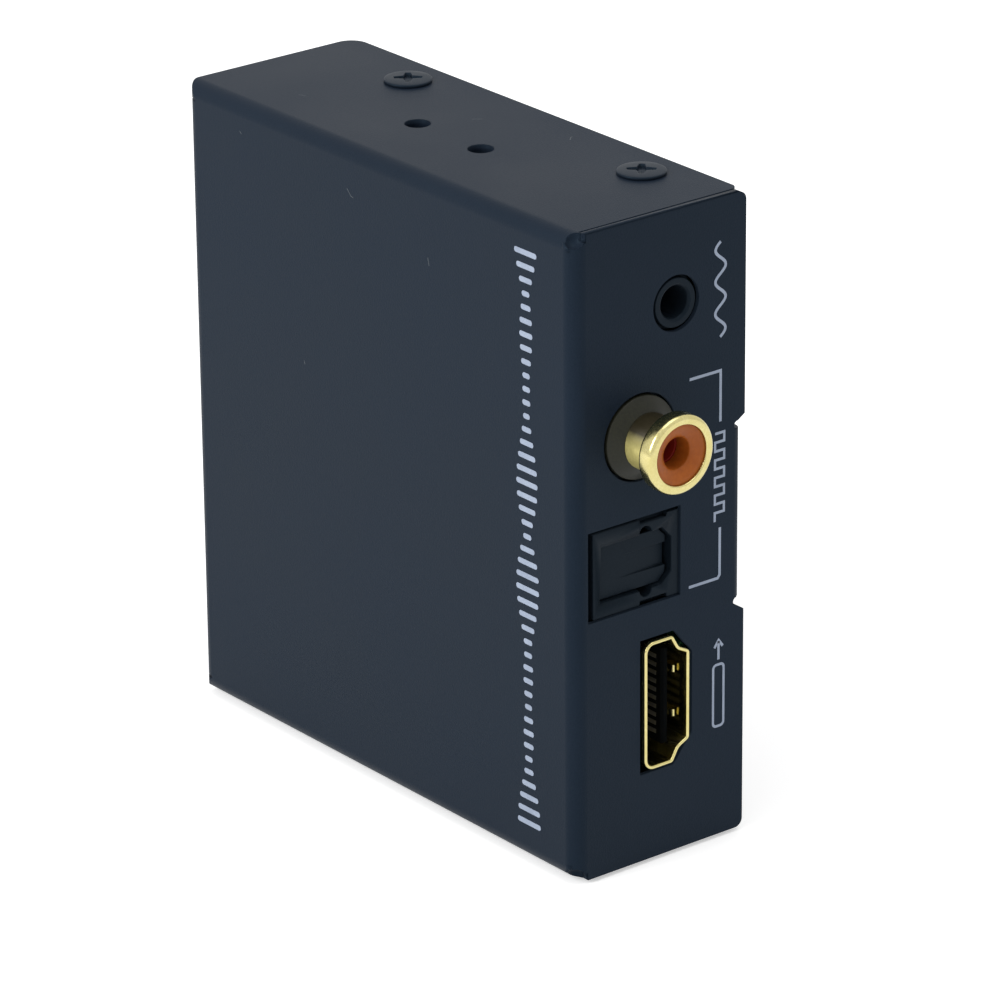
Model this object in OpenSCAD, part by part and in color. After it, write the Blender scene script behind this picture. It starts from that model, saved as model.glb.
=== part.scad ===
// Audio extractor box: a folded steel case on a circuit board with video,
// optical, coaxial and stereo sockets. It stands on its narrow side.
// X runs from the printed face to the base plate, Y from the output panel to
// the input panel, Z up. The origin lies between the two tapped mounting holes
// of the narrow side that it stands on.

/* [Case] */
// Height of the case as it stands on its narrow side
case_w = 75; // [74:1:90]
// Length of the case between its two socket panels
case_d = 69; // [66:1:84]
// Thickness of the case from the printed face to the base plate
case_t = 24; // [24:0.5:28]
// Sheet of the folded cover
cover_sheet = 1; // [0.8:0.1:1.2]
// Sheet of the base plate
base_sheet = 1; // [0.8:0.1:1.2]
// Outside radius of the folds
fold_r = 1.8; // [1.6:0.1:2.2]
// Open seam between two folded sheets
seam_gap = 0.3; // [0.2:0.05:0.4]
// Radius of the round relief where three faces meet
relief_r = 1.25; // [1:0.05:1.4]
// Radius of the free corners of the panels and of the sides' front ends
corner_r = 1; // [0.6:0.1:1.5]
// Radius of the free corners of the sides' rear ends
side_corner_r = 2.2; // [1.5:0.1:2.6]
// Length of the tab folded from each panel's edge over the base plate
tab_len = 19.8; // [16:0.1:24]
// Outside radius of the tab's fold
tab_fold_r = 1.2; // [1.2:0.05:1.5]
// How far the tab's face lies below the panel's free edge
tab_drop = 0.3; // [0.2:0.05:0.5]
// How far the tab reaches over the base plate
tab_reach = 4.5; // [3.5:0.1:6]
// Radius of the relief at each end of the tab
tab_relief_r = 0.5; // [0.4:0.05:0.6]
// How far the base plate's flanges reach into the case
flange_h = 8.6; // [8:0.1:9]
// Distance of those flanges from the output panel's face
flange_front_inset = 4; // [3:0.5:6]
// Distance of those flanges from the input panel's face
flange_rear_inset = 9; // [7:0.5:11]

/* [Screws and mounting holes] */
// Depth of the mounting holes below the printed face
hole_depth = 10.7; // [10:0.1:12]
// Distance between the two mounting holes of a side
hole_spacing = 11.2; // [10:0.1:13]
// Radius of a mounting hole
mount_hole_r = 1.5; // [1.25:0.05:1.7]
// Outside radius of the drawn collar round it
collar_r = 2.3; // [2.1:0.1:2.8]
// How far that collar reaches into the case
collar_len = 1.2; // [0.8:0.1:1.4]
// Depth of the side screws below the printed face
screw_depth = 19; // [18.5:0.1:19.5]
// Distance of the rear side screw from the input panel's face
screw_rear_inset = 16.5; // [14:0.5:18]
// Distance of the front side screw from the output panel's face
screw_front_inset = 11.5; // [10:0.5:13]
// Radius of a side screw's thread
screw_r = 1.5; // [1.25:0.05:1.6]
// Length of a side screw under its head
screw_len = 3.6; // [3:0.1:3.8]
// Radius of a side screw's head
head_r = 2.75; // [2.5:0.05:3]
// Height of a side screw's head
head_h = 0.5; // [0.4:0.05:0.8]

/* [Feet] */
// Radius of a rubber foot
foot_r = 4.6; // [4:0.1:5]
// Height of a rubber foot
foot_h = 2.6; // [2.2:0.1:3.5]
// Distance of a foot's centre from the case's edges
foot_inset = 9.5; // [8.5:0.1:11]

/* [Circuit board] */
// Thickness of the board
board_t = 1.6; // [1.2:0.1:1.8]
// Height of the standoffs that carry it
standoff_h = 3.3; // [3:0.1:3.8]
// Gap between the board and the cover
board_gap = 1.2; // [1:0.1:1.5]
// Height of the board above the stand side's outer face
board_edge = 4.4; // [4.2:0.1:4.6]
// Distance of the board screws from the panels' faces
board_screw_setback = 19; // [18:0.5:20]
// Distance of the board screws from the board's upper and lower edges
board_screw_inset = 3.8; // [3.6:0.1:4.4]

/* [Stereo jack] */
// Height of its axis above the board
jack_axis_h = 2.5; // [2.4:0.05:3]
// Radius of the hole in the panel
jack_hole_r = 3.2; // [3.05:0.05:3.5]
// Radius of its nose
jack_nose_r = 2.8; // [2.6:0.05:3]
// Radius of its bore
jack_bore_r = 1.85; // [1.8:0.01:1.95]
// Width of its body along Z
jack_body_w = 6.4; // [6.2:0.1:7]
// Length of its body behind the panel
jack_body_len = 12; // [11:0.1:13]
// Depth of its bore behind the nose's face
jack_bore_len = 11.8; // [11:0.1:12]

/* [Coaxial socket] */
// Height of its axis above the board
coax_axis_h = 7.5; // [7:0.1:8]
// Radius of the hole in the panel
coax_hole_r = 5.05; // [4.95:0.05:5.2]
// Radius of the sleeve's flange
coax_flange_r = 4.75; // [4.6:0.05:4.85]
// Length of the taper between the flange and the neck
coax_skirt = 1.2; // [0.8:0.1:1.6]
// Outside radius of the sleeve's neck
coax_neck_r = 3.2; // [3.1:0.05:3.4]
// Outside radius of the rolled front ring
coax_ring_r = 4.5; // [4.2:0.05:4.6]
// Length of the rolled front ring
coax_ring_len = 1.9; // [1.7:0.1:2.2]
// How far the ring stands out of the panel
coax_reach = 7; // [6.5:0.1:7.5]
// Wall of the sleeve
coax_wall = 0.4; // [0.3:0.05:0.5]
// Radius of the insert's face
coax_insert_r = 3.4; // [3.2:0.05:3.5]
// Radius of the centre hole
coax_pin_r = 1.75; // [1.7:0.01:1.8]
// Width of the housing behind the panel
coax_body_w = 9.8; // [9.6:0.1:10]
// Length of that housing
coax_body_len = 9; // [8:0.1:10]

/* [Optical socket] */
// Height of its axis above the board
optical_axis_h = 7.9; // [7.7:0.05:8]
// Nose of the housing along X
optical_nose_h = 12; // [11.8:0.05:12.1]
// Nose of the housing along Z
optical_nose_w = 10; // [9.9:0.05:10.1]
// How far the nose's face lies behind the panel's face
optical_recess = 0.25; // [0.15:0.05:0.4]
// Gap in the panel on the nose's printed-face side
optical_gap = 0.9; // [0.7:0.05:0.95]
// Width of the housing behind the panel
optical_body_w = 10.5; // [10.4:0.05:10.7]
// Length of the housing behind the panel
optical_body_len = 14.2; // [14:0.1:14.6]
// Mouth of the cavity along X
cavity_h = 10; // [9.8:0.05:10.1]
// Mouth of the cavity along Z
cavity_w = 6.55; // [6.4:0.05:6.7]
// Length of the corner cuts of the cavity
cavity_cut = 1.3; // [1.1:0.05:1.5]
// Thickness of the shutter
shutter_t = 0.8; // [0.7:0.05:0.9]
// Gap between the shutter and the mouth
shutter_gap = 0.15; // [0.12:0.01:0.2]
// Gap between the shutter's free end and the mouth
shutter_end_gap = 0.45; // [0.3:0.05:0.5]
// How far the shutter's face lies behind the nose's face
shutter_recess = 0.55; // [0.45:0.05:0.7]
// Radius of the shutter's pin
shutter_pin_r = 0.35; // [0.3:0.01:0.38]

/* [Video sockets] */
// Height of their axes above the board
video_axis_h = 3.9; // [3.8:0.05:4.2]
// Outside width of the shell along Z
video_w = 15.25; // [15:0.05:15.4]
// Outside height of the shell along X
video_h = 6.4; // [6.2:0.05:6.6]
// Sheet of the shell
video_sheet = 0.45; // [0.4:0.01:0.5]
// Length of the shell
video_len = 11.4; // [11:0.1:12]
// How far the shell stands out of the panel
video_proud = 0.4; // [0.3:0.05:0.6]
// Gap between the shell and the panel
video_gap = 0.4; // [0.3:0.05:0.45]
// Thickness of the tongue
tongue_t = 1; // [0.9:0.05:1.2]
// Width of the tongue
tongue_w = 11.4; // [11.2:0.1:11.8]
// How far the tongue lies off the socket's axis, towards the board
tongue_shift = 0.85; // [0.7:0.05:0.95]
// How far the tongue's edge lies behind the panel's face
tongue_recess = 1; // [0.8:0.1:1.3]
// Width of one contact
contact_w = 0.5; // [0.48:0.01:0.52]
// Free width between neighbouring contacts of a row
contact_gap = 0.5; // [0.48:0.01:0.52]
// Thickness of one contact
contact_t = 0.2; // [0.15:0.01:0.25]

/* [Power socket] */
// Height of its axis above the board
power_axis_h = 6.5; // [6:0.1:7]
// Width of its body
power_w = 9; // [8.6:0.1:9.4]
// Length of its body behind the panel
power_len = 13; // [12:0.1:14]
// Radius of its collar in the panel
power_collar_r = 4; // [3.8:0.05:4.2]
// Radius of its bore
power_bore_r = 3.1; // [2.9:0.05:3.2]
// Depth of its bore
power_bore_len = 9.5; // [9:0.1:10]
// Radius of its centre pin
power_pin_r = 1; // [0.95:0.01:1.2]

/* [Mode switch] */
// Height of its axis above the board
switch_axis_h = 4.2; // [4:0.05:4.6]
// Travel of the lever to each side of the middle
switch_travel = 2; // [1.8:0.05:2.2]
// Width of the lever along X
lever_w = 1.8; // [1.6:0.05:2]
// Length of the lever along Z
lever_len = 2; // [1.8:0.05:2.4]
// How far the lever stands out of the panel
lever_reach = 1.8; // [1.4:0.1:2.5]
// Length of the cage along Z
cage_len = 13; // [12.5:0.1:14]
// Height of the cage along X
cage_h = 6.6; // [6.4:0.1:7]
// Depth of the cage behind the panel
cage_depth = 5.4; // [5.2:0.1:6]
// Sheet of the cage
cage_sheet = 0.4; // [0.35:0.01:0.5]

/* [Power light] */
// Height of its axis above the board
led_axis_h = 4; // [3.6:0.1:4.4]
// Radius of its lens
led_r = 1.5; // [1.4:0.05:1.6]
// Length of its lens without the dome
led_len = 4; // [3.5:0.1:4.5]

/* [Hidden] */
$fn = 48;

// Overrun of a cut past the face that it opens
over = 0.1;
// Play round a thread, a press seat or a moulded seat
play = 0.05;
// Play between a board part and the hole or seat round it
seat = 0.1;
face_x = -hole_depth;
base_x = face_x + case_t;
base_out_x = base_x - tab_drop - cover_sheet - seat;
base_in_x = base_out_x - base_sheet;
board_under_x = base_in_x - standoff_h;
board_x = board_under_x - board_t;
front_y = -case_d / 2;
back_y = case_d / 2;
screw_x = face_x + screw_depth;
front_in_y = front_y + cover_sheet;
back_in_y = back_y - cover_sheet;
plate_z = cover_sheet + seam_gap;
// Heights of the sockets, the switch, the light and the tab above the stand
// side, as shares of the case's height
jack_z_share = 0.859;
coax_z_share = 0.671;
optical_z_share = 0.474;
video_out_z_share = 0.246;
video_in_z_share = 0.254;
power_z_share = 0.713;
switch_z_share = 0.507;
led_z_share = 0.86;
tab_z_share = 0.505;
jack_z = case_w * jack_z_share;
coax_z = case_w * coax_z_share;
optical_z = case_w * optical_z_share;
video_out_z = case_w * video_out_z_share;
video_in_z = case_w * video_in_z_share;
power_z = case_w * power_z_share;
switch_z = case_w * switch_z_share;
led_z = case_w * led_z_share;
tab_z = case_w * tab_z_share;
// Share of the fold's radius left open at the front end of a fold, and how far
// the relief's centre lies below the outer faces, as shares of its radius
fold_end_share = 0.5;
relief_shares = [0.45, 0.45, 0.2];
// Wall of a round fold from the outside, in the quadrant below and left of 0,0
module fold_section(r, t) {
    intersection() {
        difference() {
            circle(r = r);
            circle(r = r - t);
        }
        translate([-r, -r]) square(r);
    }
}

// Box between two corners
module slab(a, b) {
    translate(a) cube(b - a);
}

// Round bar or hole along Y from y0 to y1
module bar_y(r, y0, y1) {
    translate([0, y0, 0]) rotate([-90, 0, 0]) cylinder(r = r, h = y1 - y0);
}

// Place of an output socket: 0 at the panel's face, +Y into the case
module at_front(axis_h, z) {
    translate([board_x - axis_h, front_y, z]) children();
}

// Place of an input socket: turned half round X, so +Y is into the case again
module at_back(axis_h, z) {
    translate([board_x - axis_h, back_y, z]) rotate([180, 0, 0]) children();
}

// Outline of a flat wall from a to b, with radius r0 at its free corner near a
// and r1 at the other one
module wall_outline(a, b, r0, r1) {
    translate(a) square([b[0] - a[0] - r0, b[1] - a[1] - r1]);
    translate([a[0], a[1] + r0]) {
        square([b[0] - a[0] - r1, b[1] - a[1] - r0]);
        square([b[0] - a[0], b[1] - a[1] - r0 - r1]);
    }
    translate([b[0] - r0, a[1] + r0]) circle(r = r0);
    translate([b[0] - r1, b[1] - r1]) circle(r = r1);
}

// Cross-section of a video shell: wide towards the printed face, and stepped
// in towards the board
shoulder_shares = [[0.5, -0.5], [0.5, 0.11], [0.46, 0.2], [0.385, 0.33], [0.335, 0.45], [0.3, 0.5]];
module video_outline(w, h) {
    side = [for (p = shoulder_shares) [p[1] * h, p[0] * w]];
    other = [for (i = [len(side) - 1:-1:0]) [side[i][0], -side[i][1]]];
    polygon(concat(side, other));
}

// A video outline drawn along Y from y0 to y1
module video_block(w, h, y0, y1) {
    translate([0, y1, 0]) rotate([90, 0, 0]) linear_extrude(y1 - y0) video_outline(w, h);
}

// Cut in a panel for a video shell, with more room towards the base plate
module video_cut() {
    for (dx = [0, video_gap])
        translate([dx, 0, 0])
            video_block(video_w + 2 * video_gap, video_h + 2 * video_gap - dx, -over, cover_sheet + over);
}

// The case

// Fold line of the tab
tab_fold_x = base_x - tab_drop - tab_fold_r;
flange_y0 = front_y + flange_front_inset;
flange_y1 = back_y - flange_rear_inset;
screw_ys = [back_y - screw_rear_inset, front_y + screw_front_inset];
hole_ys = [-hole_spacing / 2, hole_spacing / 2];
// Width of the relief's mouth, in its own radii
relief_mouth_share = 2.4;
// Length of a fold left off at each end
fold_end = fold_r * fold_end_share;
// Outside radius of the base plate's folds
base_fold_r = 1.5 * base_sheet;
// Gap beside each flange
flange_relief = base_sheet;
board_screw_r = 1.2;
board_head_r = 2.3;
board_head_h = 1.4;
standoff_r = 2.9;
board_screw_ys = [front_y + board_screw_setback, back_y - board_screw_setback];
board_screw_zs = [board_edge + board_screw_inset, case_w - board_edge - board_screw_inset];
foot_ys = [front_y + foot_inset, back_y - foot_inset];
foot_zs = [foot_inset, case_w - foot_inset];

// What one narrow side has, and the other side as its mirror image
module both_sides() {
    children();
    translate([0, 0, case_w]) mirror([0, 0, 1]) children();
}

// Relief cut at one end of the tab: round at its root, open towards the edge
module tab_relief() {
    x = tab_fold_x + tab_relief_r;
    translate([x, tab_relief_r]) circle(r = tab_relief_r);
    polygon([[x, 0], [x, 2 * tab_relief_r], [base_x + over, tab_relief_r * (1 + relief_mouth_share)],
        [base_x + over, 0]]);
}

// Flat part of a socket panel with its tab. It stops short of the outer faces
// of the sides by inset
module panel_wall(inset) {
    translate([0, front_in_y, 0]) rotate([90, 0, 0]) linear_extrude(cover_sheet) difference() {
        wall_outline([face_x + fold_r, inset], [base_x, case_w - inset], corner_r, corner_r);
        translate([tab_fold_x, tab_z - tab_len / 2]) square([base_x - tab_fold_x + over, tab_len]);
        translate([0, tab_z + tab_len / 2]) tab_relief();
        translate([0, tab_z - tab_len / 2]) mirror([0, 1]) tab_relief();
    }
    translate([tab_fold_x, front_y + tab_fold_r, tab_z - tab_len / 2]) linear_extrude(tab_len)
        mirror([1, 0]) fold_section(tab_fold_r, cover_sheet);
    slab([base_x - tab_drop - cover_sheet, front_y + tab_fold_r, tab_z - tab_len / 2],
        [base_x - tab_drop, front_y + tab_reach, tab_z + tab_len / 2]);
}

// Flat part of a narrow side with its drawn collars. The output panel covers its
// front end, and its rear end covers the input panel
module side_wall() {
    linear_extrude(cover_sheet)
        wall_outline([face_x + fold_r, front_in_y + seam_gap], [base_x, back_y], corner_r, side_corner_r);
    for (y = hole_ys) translate([0, y, 0]) cylinder(r = collar_r, h = cover_sheet + collar_len);
}

// Fold between the printed face and a socket panel, which leaves off at each end
module panel_fold(off) {
    translate([face_x + fold_r, front_y + fold_r, off]) linear_extrude(case_w - 2 * off)
        fold_section(fold_r, cover_sheet);
}

// Fold between the printed face and a narrow side, rounded at its rear end
module side_fold() {
    difference() {
        translate([face_x + fold_r, back_y, fold_r]) rotate([90, 0, 0])
            linear_extrude(case_d - fold_end) fold_section(fold_r, cover_sheet);
        difference() {
            slab([face_x - over, back_y - fold_r, -over], [face_x + fold_r, back_y + over, fold_r + over]);
            translate([face_x + fold_r, back_y - fold_r, -2 * over])
                cylinder(r = fold_r, h = fold_r + 4 * over);
        }
    }
}

// Round relief where three faces meet
module corner_relief() {
    translate([face_x, front_y, 0] + relief_r * relief_shares) sphere(r = relief_r);
}

module output_cuts() {
    at_front(jack_axis_h, jack_z) bar_y(jack_hole_r, -over, cover_sheet + over);
    at_front(coax_axis_h, coax_z) bar_y(coax_hole_r, -over, cover_sheet + over);
    at_front(optical_axis_h, optical_z) slab(
        [-optical_nose_h / 2 - optical_gap, -over, -optical_nose_w / 2 - seat],
        [optical_nose_h / 2 + seat, cover_sheet + over, optical_nose_w / 2 + optical_top_gap]);
    at_front(video_axis_h, video_out_z) video_cut();
}

module input_cuts() {
    at_back(video_axis_h, video_in_z) video_cut();
    at_back(power_axis_h, power_z) bar_y(power_collar_r + seat, -over, cover_sheet + over);
    at_back(switch_axis_h, switch_z) slab(
        [-lever_w / 2 - lever_gap, -over, -lever_len / 2 - switch_travel - lever_gap],
        [lever_w / 2 + lever_gap, cover_sheet + over, lever_len / 2 + switch_travel + lever_gap]);
    at_back(led_axis_h, led_z) bar_y(led_r + seat, -over, cover_sheet + over);
}

module cover_shell() {
    color([0.16, 0.19, 0.23]) difference() {
        union() {
            slab([face_x, front_y + fold_r, fold_r],
                [face_x + cover_sheet, back_y - fold_r, case_w - fold_r]);
            panel_wall(0);
            panel_fold(fold_end);
            mirror([0, 1, 0]) {
                panel_wall(plate_z);
                panel_fold(fold_r + seam_gap);
            }
            both_sides() {
                side_wall();
                side_fold();
            }
        }
        both_sides() corner_relief();
        both_sides() {
            for (y = hole_ys)
                translate([0, y, -over]) cylinder(r = mount_hole_r, h = cover_sheet + collar_len + 2 * over);
            for (y = screw_ys)
                translate([screw_x, y, -over]) cylinder(r = screw_r + seat, h = cover_sheet + 2 * over);
        }
        output_cuts();
        input_cuts();
    }
}

// Flange of the base plate inside one narrow side
module base_flange() {
    translate([base_out_x - base_fold_r, flange_y1, plate_z + base_fold_r]) rotate([90, 0, 0])
        linear_extrude(flange_y1 - flange_y0) mirror([1, 0]) fold_section(base_fold_r, base_sheet);
    slab([base_out_x - flange_h, flange_y0, plate_z],
        [base_out_x - base_fold_r, flange_y1, plate_z + base_sheet]);
}

module base_plate() {
    y0 = front_in_y + seam_gap;
    y1 = back_in_y - seam_gap;
    color([0.14, 0.16, 0.19]) difference() {
        union() {
            slab([base_in_x, y0, plate_z], [base_out_x, y1, case_w - plate_z]);
            both_sides() base_flange();
        }
        both_sides() {
            difference() {
                slab([base_in_x - over, flange_y0 - flange_relief, plate_z - over],
                    [base_out_x + over, flange_y1 + flange_relief, plate_z + base_fold_r]);
                base_flange();
            }
            for (y = screw_ys)
                translate([screw_x, y, 0]) cylinder(r = screw_r + play, h = plate_z + 2 * base_sheet);
        }
    }
}

// Pan-head screw with a cross recess, its head's seat at 0 and its shank along +Z
cross_len_share = 0.5;
cross_w_share = 0.14;
cross_depth_share = 0.6;
// Edge of the head: shares of its radius, and of its height from the seat
head_edge_shares = [[1, 0], [1, 0.35], [0.86, 0.85], [0.6, 1]];
module cross_screw(r, length, head, height) {
    edge = [for (p = head_edge_shares) [p[0] * head, -p[1] * height]];
    difference() {
        union() {
            cylinder(r = r, h = length);
            rotate_extrude() polygon(concat([[0, 0]], edge, [[0, -height]]));
        }
        for (turn = [0, 90]) rotate(turn)
            slab([-head * cross_len_share, -head * cross_w_share, -height - over],
                [head * cross_len_share, head * cross_w_share, r * cross_depth_share]);
    }
}

// Angle at which each screw of a side happens to stand
screw_turns = [20, 65];
module side_screws() {
    color([0.2, 0.2, 0.22]) both_sides() for (i = [0, 1])
        translate([screw_x, screw_ys[i], 0]) rotate(screw_turns[i])
            cross_screw(screw_r, screw_len, head_r, head_h);
}

// Outline of a foot: shares of its radius and of its height
foot_shares = [[0, 0], [1, 0], [0.9, 0.8], [0.8, 1], [0, 1]];
module rubber_feet() {
    color([0.05, 0.05, 0.05]) for (y = foot_ys, z = foot_zs)
        translate([base_out_x, y, z]) rotate([0, 90, 0]) rotate_extrude()
            polygon([for (p = foot_shares) [p[0] * foot_r, p[1] * foot_h]]);
}

module main_board() {
    color([0.05, 0.28, 0.16]) difference() {
        slab([board_x, front_in_y + board_gap, board_edge],
            [board_under_x, back_in_y - board_gap, case_w - board_edge]);
        for (y = board_screw_ys, z = board_screw_zs)
            translate([board_x - over, y, z]) rotate([0, 90, 0])
                cylinder(r = board_screw_r + seat, h = board_t + 2 * over);
    }
}

module board_standoffs() {
    color([0.72, 0.66, 0.42]) for (y = board_screw_ys, z = board_screw_zs)
        translate([board_under_x, y, z]) rotate([0, 90, 0]) difference() {
            cylinder(r = standoff_r, h = standoff_h, $fn = 6);
            translate([0, 0, -over])
                cylinder(r = board_screw_r + play, h = standoff_h + 2 * over, $fn = 48);
        }
}

// How deep a board screw reaches into its standoff
screw_grip_share = 0.7;
module board_screws() {
    color([0.7, 0.7, 0.72]) for (y = board_screw_ys, z = board_screw_zs)
        translate([board_x, y, z]) rotate([0, 90, 0])
            cross_screw(board_screw_r, board_t + standoff_h * screw_grip_share, board_head_r, board_head_h);
}

// The stereo jack

jack_nose_recess = 0.15;
jack_mouth = 0.3;
jack_body_top = 3;
// Leaf contacts in the open sides of the body
leaf_t = 0.25;
leaf_w = 0.7;
jack_leaf_y0 = 3.2;
jack_leaf_y1 = 9.6;

module stereo_jack_body() {
    color([0.09, 0.09, 0.1]) at_front(jack_axis_h, jack_z) difference() {
        union() {
            slab([-jack_body_top, cover_sheet + seat, -jack_body_w / 2],
                [jack_axis_h, cover_sheet + jack_body_len, jack_body_w / 2]);
            bar_y(jack_nose_r, jack_nose_recess, 2 * cover_sheet);
        }
        bar_y(jack_bore_r, 0, jack_nose_recess + jack_bore_len);
        translate([0, jack_nose_recess, 0]) rotate([-90, 0, 0])
            cylinder(r1 = jack_bore_r + jack_mouth, r2 = jack_bore_r, h = jack_mouth);
        for (side = [-1, 1]) scale([1, 1, side])
            slab([-leaf_w / 2 - seat, jack_leaf_y0 - leaf_t, 0],
                [leaf_w / 2 + seat, jack_leaf_y1 + leaf_t, jack_body_w / 2 + over]);
    }
}

module stereo_jack_contacts() {
    z0 = jack_bore_r + seat;
    z1 = jack_body_w / 2 + seat;
    color([0.75, 0.75, 0.72]) at_front(jack_axis_h, jack_z) for (side = [0, 1]) mirror([0, 0, side]) {
        slab([-leaf_w / 2, jack_leaf_y0, z0], [leaf_w / 2, jack_leaf_y1, z0 + leaf_t]);
        slab([-leaf_w / 2, jack_leaf_y1 - leaf_t, z0], [leaf_w / 2, jack_leaf_y1, z1 + leaf_t]);
        slab([-leaf_w / 2, jack_leaf_y1 - leaf_w, z1], [jack_axis_h, jack_leaf_y1, z1 + leaf_t]);
    }
}

// The coaxial socket, drawn with its axis along Z and its mouth up

// How far the sleeve, the insert and the centre contact reach into the case
sleeve_back = 6;
insert_back = 7.4;
clip_back = 8.6;
// Depth of the insert's face behind the ring, at its edge and at its hole, and
// the size of the chamfer round the hole
insert_recess = 0.35;
insert_dish = 0.8;
insert_mouth = 0.3;
// Depth of the centre contact's mouth behind the ring
clip_recess = 3.2;
clip_wall = 0.3;
ring_round = 0.5;
coax_in_r = coax_neck_r - coax_wall;
coax_leg_w = 1.2;

// A coaxial piece turned so that it points out of the output panel
module at_coax() {
    at_front(coax_axis_h, coax_z) rotate([90, 0, 0]) children();
}

module coax_ring_outline() {
    low = coax_reach - coax_ring_len;
    bore_r = coax_insert_r + play;
    for (z = [low + ring_round, coax_reach - ring_round])
        translate([coax_ring_r - ring_round, z]) circle(r = ring_round);
    translate([bore_r, low]) square([coax_ring_r - ring_round - bore_r, coax_ring_len]);
    translate([bore_r, low + ring_round]) square([coax_ring_r - bore_r, coax_ring_len - 2 * ring_round]);
    polygon([[coax_in_r, low - ring_round], [coax_neck_r, low - 2 * ring_round],
        [coax_ring_r - ring_round, low], [coax_ring_r - ring_round, low + ring_round],
        [coax_in_r, low + ring_round]]);
}

module coax_sleeve() {
    edge = coax_wall / 2;
    color([0.85, 0.72, 0.38]) at_coax() {
        rotate_extrude() {
            coax_ring_outline();
            translate([coax_in_r, -sleeve_back])
                square([coax_wall, sleeve_back + coax_reach - coax_ring_len]);
            polygon([[coax_in_r + edge, -cover_sheet - seat], [coax_flange_r, -cover_sheet - seat],
                [coax_flange_r, -edge / 2], [coax_flange_r - edge, edge / 2], [coax_neck_r, coax_skirt],
                [coax_in_r + edge, coax_skirt]]);
        }
        slab([coax_in_r + edge, -coax_leg_w / 2, -sleeve_back],
            [coax_axis_h, coax_leg_w / 2, coax_wall - sleeve_back]);
    }
}

module coax_insert() {
    low = coax_reach - coax_ring_len + ring_round + play;
    face = coax_reach - insert_recess;
    back = -insert_back - over;
    color([0.86, 0.42, 0.14]) at_coax() difference() {
        rotate_extrude() polygon([[0, -insert_back], [coax_in_r - play, -insert_back],
            [coax_in_r - play, low], [coax_insert_r, low], [coax_insert_r, face],
            [coax_insert_r - insert_recess / 2, face], [coax_pin_r + insert_mouth, coax_reach - insert_dish],
            [coax_pin_r, coax_reach - insert_dish - insert_mouth],
            [0, coax_reach - insert_dish - insert_mouth]]);
        translate([0, 0, back]) cylinder(r = coax_pin_r, h = coax_reach - back);
        translate([0, 0, back])
            cylinder(r = coax_clip_out_r + play, h = coax_reach - clip_recess + seat - back);
    }
}

// The clip's bore is a little under the insert's hole, so that it grips the plug
coax_clip_in_r = coax_pin_r - 2 * play;
coax_clip_out_r = coax_clip_in_r + clip_wall;

module coax_centre_contact() {
    color([0.8, 0.68, 0.36]) at_coax() {
        difference() {
            translate([0, 0, -clip_back])
                cylinder(r = coax_clip_out_r, h = clip_back + coax_reach - clip_recess);
            translate([0, 0, -clip_back - over])
                cylinder(r = coax_clip_in_r, h = clip_back + coax_reach - clip_recess + 2 * over);
        }
        slab([coax_clip_in_r + clip_wall / 2, -coax_leg_w / 2, -clip_back],
            [coax_axis_h, coax_leg_w / 2, coax_wall - clip_back]);
    }
}

module coax_housing() {
    half = coax_body_w / 2;
    back = cover_sheet + coax_body_len;
    color([0.07, 0.07, 0.08]) at_front(coax_axis_h, coax_z) difference() {
        slab([-half, cover_sheet + seat, -half], [coax_axis_h, back, half]);
        bar_y(coax_neck_r + play, 0, back + over);
        slab([0, sleeve_back - coax_wall - seat, -coax_leg_w / 2 - seat],
            [coax_axis_h + over, back + over, coax_leg_w / 2 + seat]);
    }
}

// The optical socket

optical_top_gap = 0.45;
optical_body_over = 0.8;
cavity_len = 11.7;
window_r = 1.2;
emitter_w = 4.6;
emitter_h = 5;
emitter_t = 1.1;
shutter_barrel_r = 0.75;
spring_gap = 1;
spring_room_r = 0.6;
// Notches in the nose's edges and grooves in the cavity, along the nose
notch_shares = [0.05, 0.36];
notch_depth = 0.5;
groove_r = 0.85;
groove_x = 1.4;
hinge_inset = 0.35;
// Pin of the shutter, from the nose's middle and from the panel's face
hinge_x = hinge_inset - cavity_h / 2;
hinge_y = optical_recess + shutter_recess + shutter_barrel_r;
cavity_back = optical_recess + cavity_len;
pin_hold = 0.9;

// Mouth of the cavity, shrunk all round, with its two cut corners on +X
module cavity_outline(gap) {
    h = cavity_h / 2 - gap;
    w = cavity_w / 2 - gap;
    polygon([[-h, -w], [h - cavity_cut, -w], [h, cavity_cut - w], [h, w - cavity_cut],
        [h - cavity_cut, w], [-h, w]]);
}

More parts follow.
